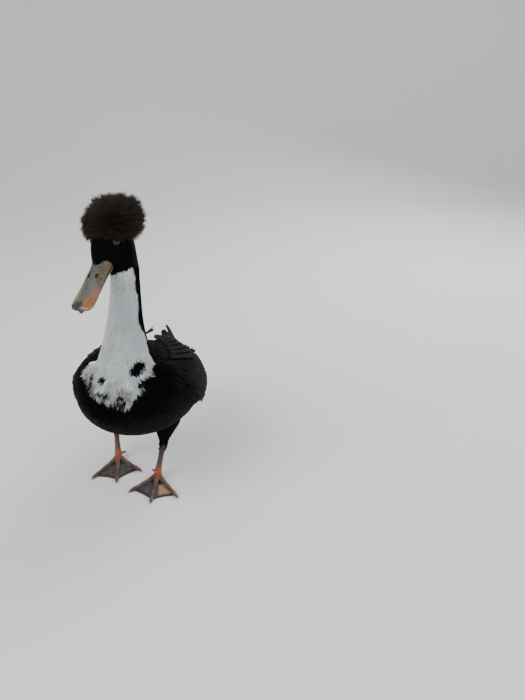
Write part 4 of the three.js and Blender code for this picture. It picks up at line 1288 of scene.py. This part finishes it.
# Eyes: small dark wet balls, with a brown iris that hardly shows, set deep between lids. The lids
# are thin rims of bare skin round each eye.
eye_material, tree, shader = new_material("wet_dark_eye", (0.01, 0.007, 0.006), 0.04)
eye_tone = ramp(
    tree, noise_node(tree, 900, 2), (0.3, (0.012, 0.007, 0.005)), (0.7, (0.035, 0.018, 0.01))
)
tree.links.new(eye_tone, shader.inputs["Base Color"])
socket(shader, "Specular IOR Level", 0.25)
socket(shader, "Coat Weight", 0.25)
socket(shader, "Coat Roughness", 0.03)
lid_material, tree, shader = new_material("lid_skin", (0.06, 0.05, 0.045), 0.55)
lid_tone = ramp(
    tree, noise_node(tree, 700, 4), (0.35, (0.02, 0.017, 0.016)), (0.7, (0.06, 0.052, 0.048))
)
tree.links.new(lid_tone, shader.inputs["Base Color"])
LID = {"half_width": 4.6, "forward": 3.1, "thick": 0.7, "high": 0.5, "around": 48, "ring": 8}
lids = []
for eye_name, side in (("left", 1), ("right", -1)):
    centre = np.array((side * EYE["side"], -EYE["forward"], EYE["up"]))
    bpy.ops.mesh.primitive_uv_sphere_add(segments=40, ring_count=24, radius=1)
    eye = bpy.context.object
    eye.name = f"eye_{eye_name}_ball"
    look = unit(np.array((side * 0.9, -0.18, 0.4)))
    level = unit(np.cross(look, (0, 0, side)))
    rise = np.cross(level, look) * side
    local = np.array([v.co for v in eye.data.vertices]) @ np.array((level, rise, look))
    bulge = np.clip(local @ look, 0, 1) ** 6 * 0.05
    local = local * (1 + bulge)[:, None] * (EYE["radius"] - 0.25) + centre
    move_corners(eye, in_frame(head_frame, local))
    outward(eye)
    eye.data.materials.append(eye_material)
    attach(eye, "root")
    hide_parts(f"eye_{eye_name}")
    rings = []
    for turn in np.linspace(0, 2 * pi, LID["around"], endpoint=False):
        out = level * cos(turn) + rise * sin(turn)
        wide, tall = abs(cos(turn)), abs(sin(turn))
        width = LID["half_width"] * (1.12 * wide + 0.86 * tall) / (wide + tall)
        middle = centre + look * (LID["forward"] - 0.4 * cos(turn) ** 2) + out * width
        for a in np.linspace(0, 2 * pi, LID["ring"], endpoint=False):
            rings.append(middle + out * cos(a) * LID["thick"] + look * sin(a) * LID["high"])
    corners = np.array(rings)
    faces = []
    for i, j in product(range(LID["around"]), range(LID["ring"])):
        here, there = i * LID["ring"], (i + 1) % LID["around"] * LID["ring"]
        k = (j + 1) % LID["ring"]
        faces.append((here + j, here + k, there + k, there + j))
    lid = make_object(f"lid_{eye_name}", in_frame(head_frame, corners), faces)
    outward(lid)
    lids.append(lid)
eyelids = join_pieces("eyelids", lids)
eyelids.data.materials.append(lid_material)
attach(eyelids, "root")


# Legs: a bare scaled shank, and a foot of three toes joined by thin leathery webs, with a small
# hind toe. The skin is orange under dark scales, and the webs are grey-purple with dark rims.
TOE = {"radius": 4.3, "claw": 7.5}
TOES = [("inner", 54, 42), ("middle", 68, 0), ("outer", 65, -35)]
TOE_ROWS = [
    (-5, 9, 0), (0, 9, 1.15), (0.2, 6.2, 1), (0.42, 4.2, 0.82), (0.5, 3.9, 0.92), (0.74, 3, 0.72),
    (0.82, 3, 0.82), (1, 2.5, 0.6), (1.08, 2.3, 0),
]
KNUCKLE_ROWS = [(6, 8.5, 0), (4.5, 8.5, 0.8), (1, 8.5, 1), (-3.5, 8, 0.8), (-6, 8, 0)]
HIND_TOE = {"length": 11, "way": (0.62, 0.72, -0.3), "root": (2, 4, 12)}
HIND_ROWS = [(-2, 0), (0, 2.6), (0.5, 2.3), (1, 2.3), (1.25, 0)]
SHANK_ROWS = [
    (-0.25, 1.1), (0, 1.15), (0.12, 1.02), (0.35, 0.86), (0.65, 0.84), (0.88, 1.08), (1, 1.25),
    (1.2, 1.1), (1.3, 0),
]
CLAW_ROWS = [(0.0, 0), (0.06, 1.9), (0.3, 1.75), (0.6, 1.2), (0.85, 0.6), (1.0, 0)]
FOOT_VOXEL = 0.00075
SCUTE_AROUND = 28


def scaled_form(stations, scales, height, side=(1, 0, 0), along=90):
    """A limb with a row of overlapping scutes along it."""
    form = Form(stations, side=side)
    corners, faces = form.surface(SCUTE_AROUND, along)
    polar = np.linspace(0, pi, along + 1)[1:-1]
    t = np.repeat((1 - np.cos(polar)) / 2, SCUTE_AROUND)
    middle = catmull(form.path, t)
    step = (t * scales) % 1.0
    ridge = height * (step**1.5 - 0.5) * np.sqrt(np.clip(4 * t * (1 - t), 0, 1))
    count = len(t)
    out = unit(corners[:count] - middle)
    corners[:count] += out * ridge[:, None]
    return corners, faces


WEB = (0.3, (0.04, 0.034, 0.037)), (0.52, (0.075, 0.06, 0.062)), (0.75, (0.14, 0.095, 0.085))
TOE_SKIN = (0.3, (0.05, 0.027, 0.019)), (0.5, (0.11, 0.052, 0.03)), (0.72, (0.22, 0.095, 0.045))
SHANK_SKIN = (0.35, (0.07, 0.036, 0.024)), (0.65, (0.16, 0.075, 0.042))
WEB_PEACH, WEB_RIM = (0.4, 0.22, 0.12, 1.0), (0.016, 0.012, 0.012, 1.0)
ANKLE_RED, HOCK_BROWN = (0.36, 0.085, 0.03, 1.0), (0.028, 0.02, 0.018, 1.0)

leg_material, tree, shader = new_material("scaled_leg_skin", (0.4, 0.18, 0.1), 0.5)
scales = add_node(tree, "ShaderNodeTexVoronoi", feature="DISTANCE_TO_EDGE")
socket(scales, "Scale", 620)
tree.links.new(object_coordinates(tree), scales.inputs["Vector"])
web_tone = ramp(tree, noise_node(tree, 120, 4), *WEB)
web_tone = mix_colors(tree, attribute_node(tree, "peach"), web_tone, WEB_PEACH)
web_tone = mix_colors(tree, attribute_node(tree, "rim"), web_tone, WEB_RIM)
# Brown toes, orange-red round the ankle, and dark brown up the shank
height = axes_of(tree, object_coordinates(tree))["Z"]
toe_tone = ramp(tree, noise_node(tree, 90, 4), *TOE_SKIN)
for color, low, high in (
    (ANKLE_RED, 0.008, 0.015),
    (ramp(tree, noise_node(tree, 160, 4), *SHANK_SKIN), 0.017, 0.028),
    (HOCK_BROWN, 0.03, 0.05),
):
    toe_tone = mix_colors(tree, remap(tree, height, low, high), toe_tone, color)
limb = mix_colors(tree, attribute_node(tree, "toe"), web_tone, toe_tone)
grooves = remap(tree, scales.outputs["Distance"], 0.0, 0.12)
groove_tone = ramp(tree, grooves, (0, grey(0.35)), (1, grey(1.1)))
limb = mix_colors(tree, 0.55, limb, mix_colors(tree, 1.0, limb, groove_tone, "MULTIPLY"))
tree.links.new(limb, shader.inputs["Base Color"])
add_bump(tree, shader, grooves, 0.5, 0.0005)


def leg_way(leg, *way):
    return leg_point(leg, *way) - leg_point(leg, 0, 0, 0)


WEB_STEPS, WEB_ACROSS = 40, 46


def web_grid(leg):
    """A thin sheet between the toes, hollow at its front edge and slack between them."""
    side = leg["side"]
    ends = []
    for _, length, turn in TOES:
        heading = radians(turn * side)
        ends.append(np.array((-sin(heading), -cos(heading))) * length * 0.96)
    lines = []
    for i in range(WEB_ACROSS + 1):
        share = i / WEB_ACROSS * 2
        first, second = (ends[0], ends[1]) if share <= 1 else (ends[1], ends[2])
        w = share if share <= 1 else share - 1
        pull = ((first + second) / 2) * 0.86
        edge = first * (1 - w) ** 2 + 2 * pull * w * (1 - w) + second * w**2
        lines.append((edge, sin(pi * w)))
    top, bottom = [], []
    for edge, slack in lines:
        for k in range(WEB_STEPS + 1):
            s = 0.08 + 0.92 * k / WEB_STEPS
            x, y = edge * s
            z = 3.2 - 1.1 * slack * s + 0.35 * sin(s * 17) * slack + 2.4 * (1 - s) ** 2
            top.append((x, y, max(z, 1.5)))
            bottom.append((x, y, max(z - 1.4, 0.0)))
    rows, cols = WEB_ACROSS + 1, WEB_STEPS + 1
    corners = np.array(top + bottom)
    n = rows * cols
    faces = []
    for i, k in product(range(rows - 1), range(cols - 1)):
        a = i * cols + k
        b, c, d = a + 1, a + cols + 1, a + cols
        faces += [(a, b, c, d), (n + d, n + c, n + b, n + a)]
    rim = [i * cols for i in range(rows)] + [(rows - 1) * cols + k for k in range(1, cols)]
    rim += [i * cols + cols - 1 for i in range(rows - 2, -1, -1)] + list(range(cols - 2, 0, -1))
    for a, b in zip(rim, rim[1:] + rim[:1]):
        faces.append((a, b, n + b, n + a))
    return leg_place(leg, corners), faces


def toe_stations(leg, way, length):
    stations = []
    for along, z, size in TOE_ROWS:
        reach = along if along < 0 else along * length
        r = size * TOE["radius"]
        stations.append((*leg_point(leg, way[0] * reach, way[1] * reach, z), r, r * 0.95, r))
    return stations


def claw_stations(root, ahead, dip):
    start = root - ahead * 1.0
    down = np.array((0, 0, -1.0))
    stations = []
    for a, size in CLAW_ROWS:
        place = start + ahead * a * (TOE["claw"] + 1) + down * (a * a * 1.4 + dip * a * 3)
        stations.append((*place, size * 0.85, size, size))
    return stations


for leg_name, leg in LEGS.items():
    side = leg["side"]
    pieces, toe_lines, claws = [], [], []
    for toe_name, length, turn in TOES:
        heading = radians(-turn * side)
        way = (sin(heading), -cos(heading))
        stations = toe_stations(leg, way, length)
        across = leg_way(leg, cos(heading), sin(heading), 0)
        pieces.append(make_object("toe", *scaled_form(stations, 20, 0.5, side=across)))
        toe_lines.append((np.array(stations[1][:3]), np.array(stations[-2][:3])))
        end = leg_point(leg, way[0] * length, way[1] * length, 2.3)
        claws.append((f"claw_{leg_name}_{toe_name}", end, leg_way(leg, *way, 0), 0.05))
    knuckle = [(*leg_point(leg, 0, y, z), s * 6.6, s * 7.2, s * 7.2) for y, z, s in KNUCKLE_ROWS]
    pieces.append(make_object("knuckle", *Form(knuckle).surface(24, 20)))
    out, back, down = HIND_TOE["way"]
    hind_ahead = unit(leg_way(leg, -side * out, back, down))
    out, back, rise = HIND_TOE["root"]
    hind_root = leg_point(leg, -side * out, back, rise)
    hind = []
    for a, s in HIND_ROWS:
        hind.append((*(hind_root + hind_ahead * (a if a < 0 else a * HIND_TOE["length"])), s, s, s))
    pieces.append(make_object("hind_toe", *Form(hind).surface(20, 20)))
    hind_end = hind_root + hind_ahead * HIND_TOE["length"]
    claws.append((f"claw_{leg_name}_hind", hind_end, hind_ahead, -0.3))
    hock = thigh_line(leg)[0]
    ankle = leg_point(leg, 0, 1, FOOT_HEIGHT)
    shank = [(*(ankle + (hock - ankle) * a), s * 5.3, s * 5.8, s * 5.8) for a, s in SHANK_ROWS]
    pieces.append(make_object("shank", *scaled_form(shank, 16, 0.7, along=110)))
    web = make_object("web", *web_grid(leg))
    for piece in (web, *pieces):
        outward(piece)
    foot = join_pieces(f"leg_{leg_name}_skin", pieces)
    apply_modifier(foot, "REMESH", mode="VOXEL", voxel_size=FOOT_VOXEL)
    apply_modifier(foot, "SMOOTH", factor=0.5, iterations=2)
    move_corners(foot, np.maximum(skin_places(foot), (-np.inf, -np.inf, 0)))
    # The webs hang between the toes: dark at the rim, and on the left foot peach on the outer side
    on_web = skin_places(web) - (*leg["joint"], 0)
    spread = np.degrees(np.arctan2(on_web[:, 0], -on_web[:, 1])) - leg["turn"]
    limit = np.interp(spread * side, [-42, -21, 0, 17, 35], [49, 49, 64, 57, 60])
    far = np.hypot(on_web[:, 0], on_web[:, 1])
    put_attribute(web, "rim", smooth_step(0.84, 0.97, far / limit))
    put_attribute(web, "peach", (side > 0) * smooth_step(8, 14, spread) * smooth_step(22, 30, far))
    foot = join_pieces(f"leg_{leg_name}_skin", [foot, web])
    places = skin_places(foot)
    reach = np.full(len(places), 99.0)
    for start, end in toe_lines:
        line = end - start
        share = np.clip((places - start) @ line / (line @ line), 0, 1)
        gap = np.linalg.norm((places - start - share[:, None] * line)[:, :2], axis=1)
        reach = np.minimum(reach, gap - 3.6 * (1 - share * 0.35))
    near_leg = np.linalg.norm(places[:, :2] - ankle[:2], axis=1)
    toe = np.clip(1 - smooth_step(-0.8, 1.0, reach) + (places[:, 2] > 7) + (near_leg < 9), 0, 1)
    foot.data.materials.clear()
    foot.data.materials.append(leg_material)
    put_attribute(foot, "toe", toe)
    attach(foot, "root")
    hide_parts(f"foot_{leg_name}", f"shank_{leg_name}")
    for claw_name, root, ahead, dip in claws:
        stations = claw_stations(root, unit(ahead), dip)
        across = np.cross(unit(ahead), (0, 0, 1))
        claw = make_object(f"{claw_name}_horn", *Form(stations, side=across).surface(16, 18))
        move_corners(claw, np.maximum(skin_places(claw), (-np.inf, -np.inf, 0.02)))
        outward(claw)
        claw.data.materials.append(horn_material)
        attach(claw, "root")
        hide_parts(claw_name)
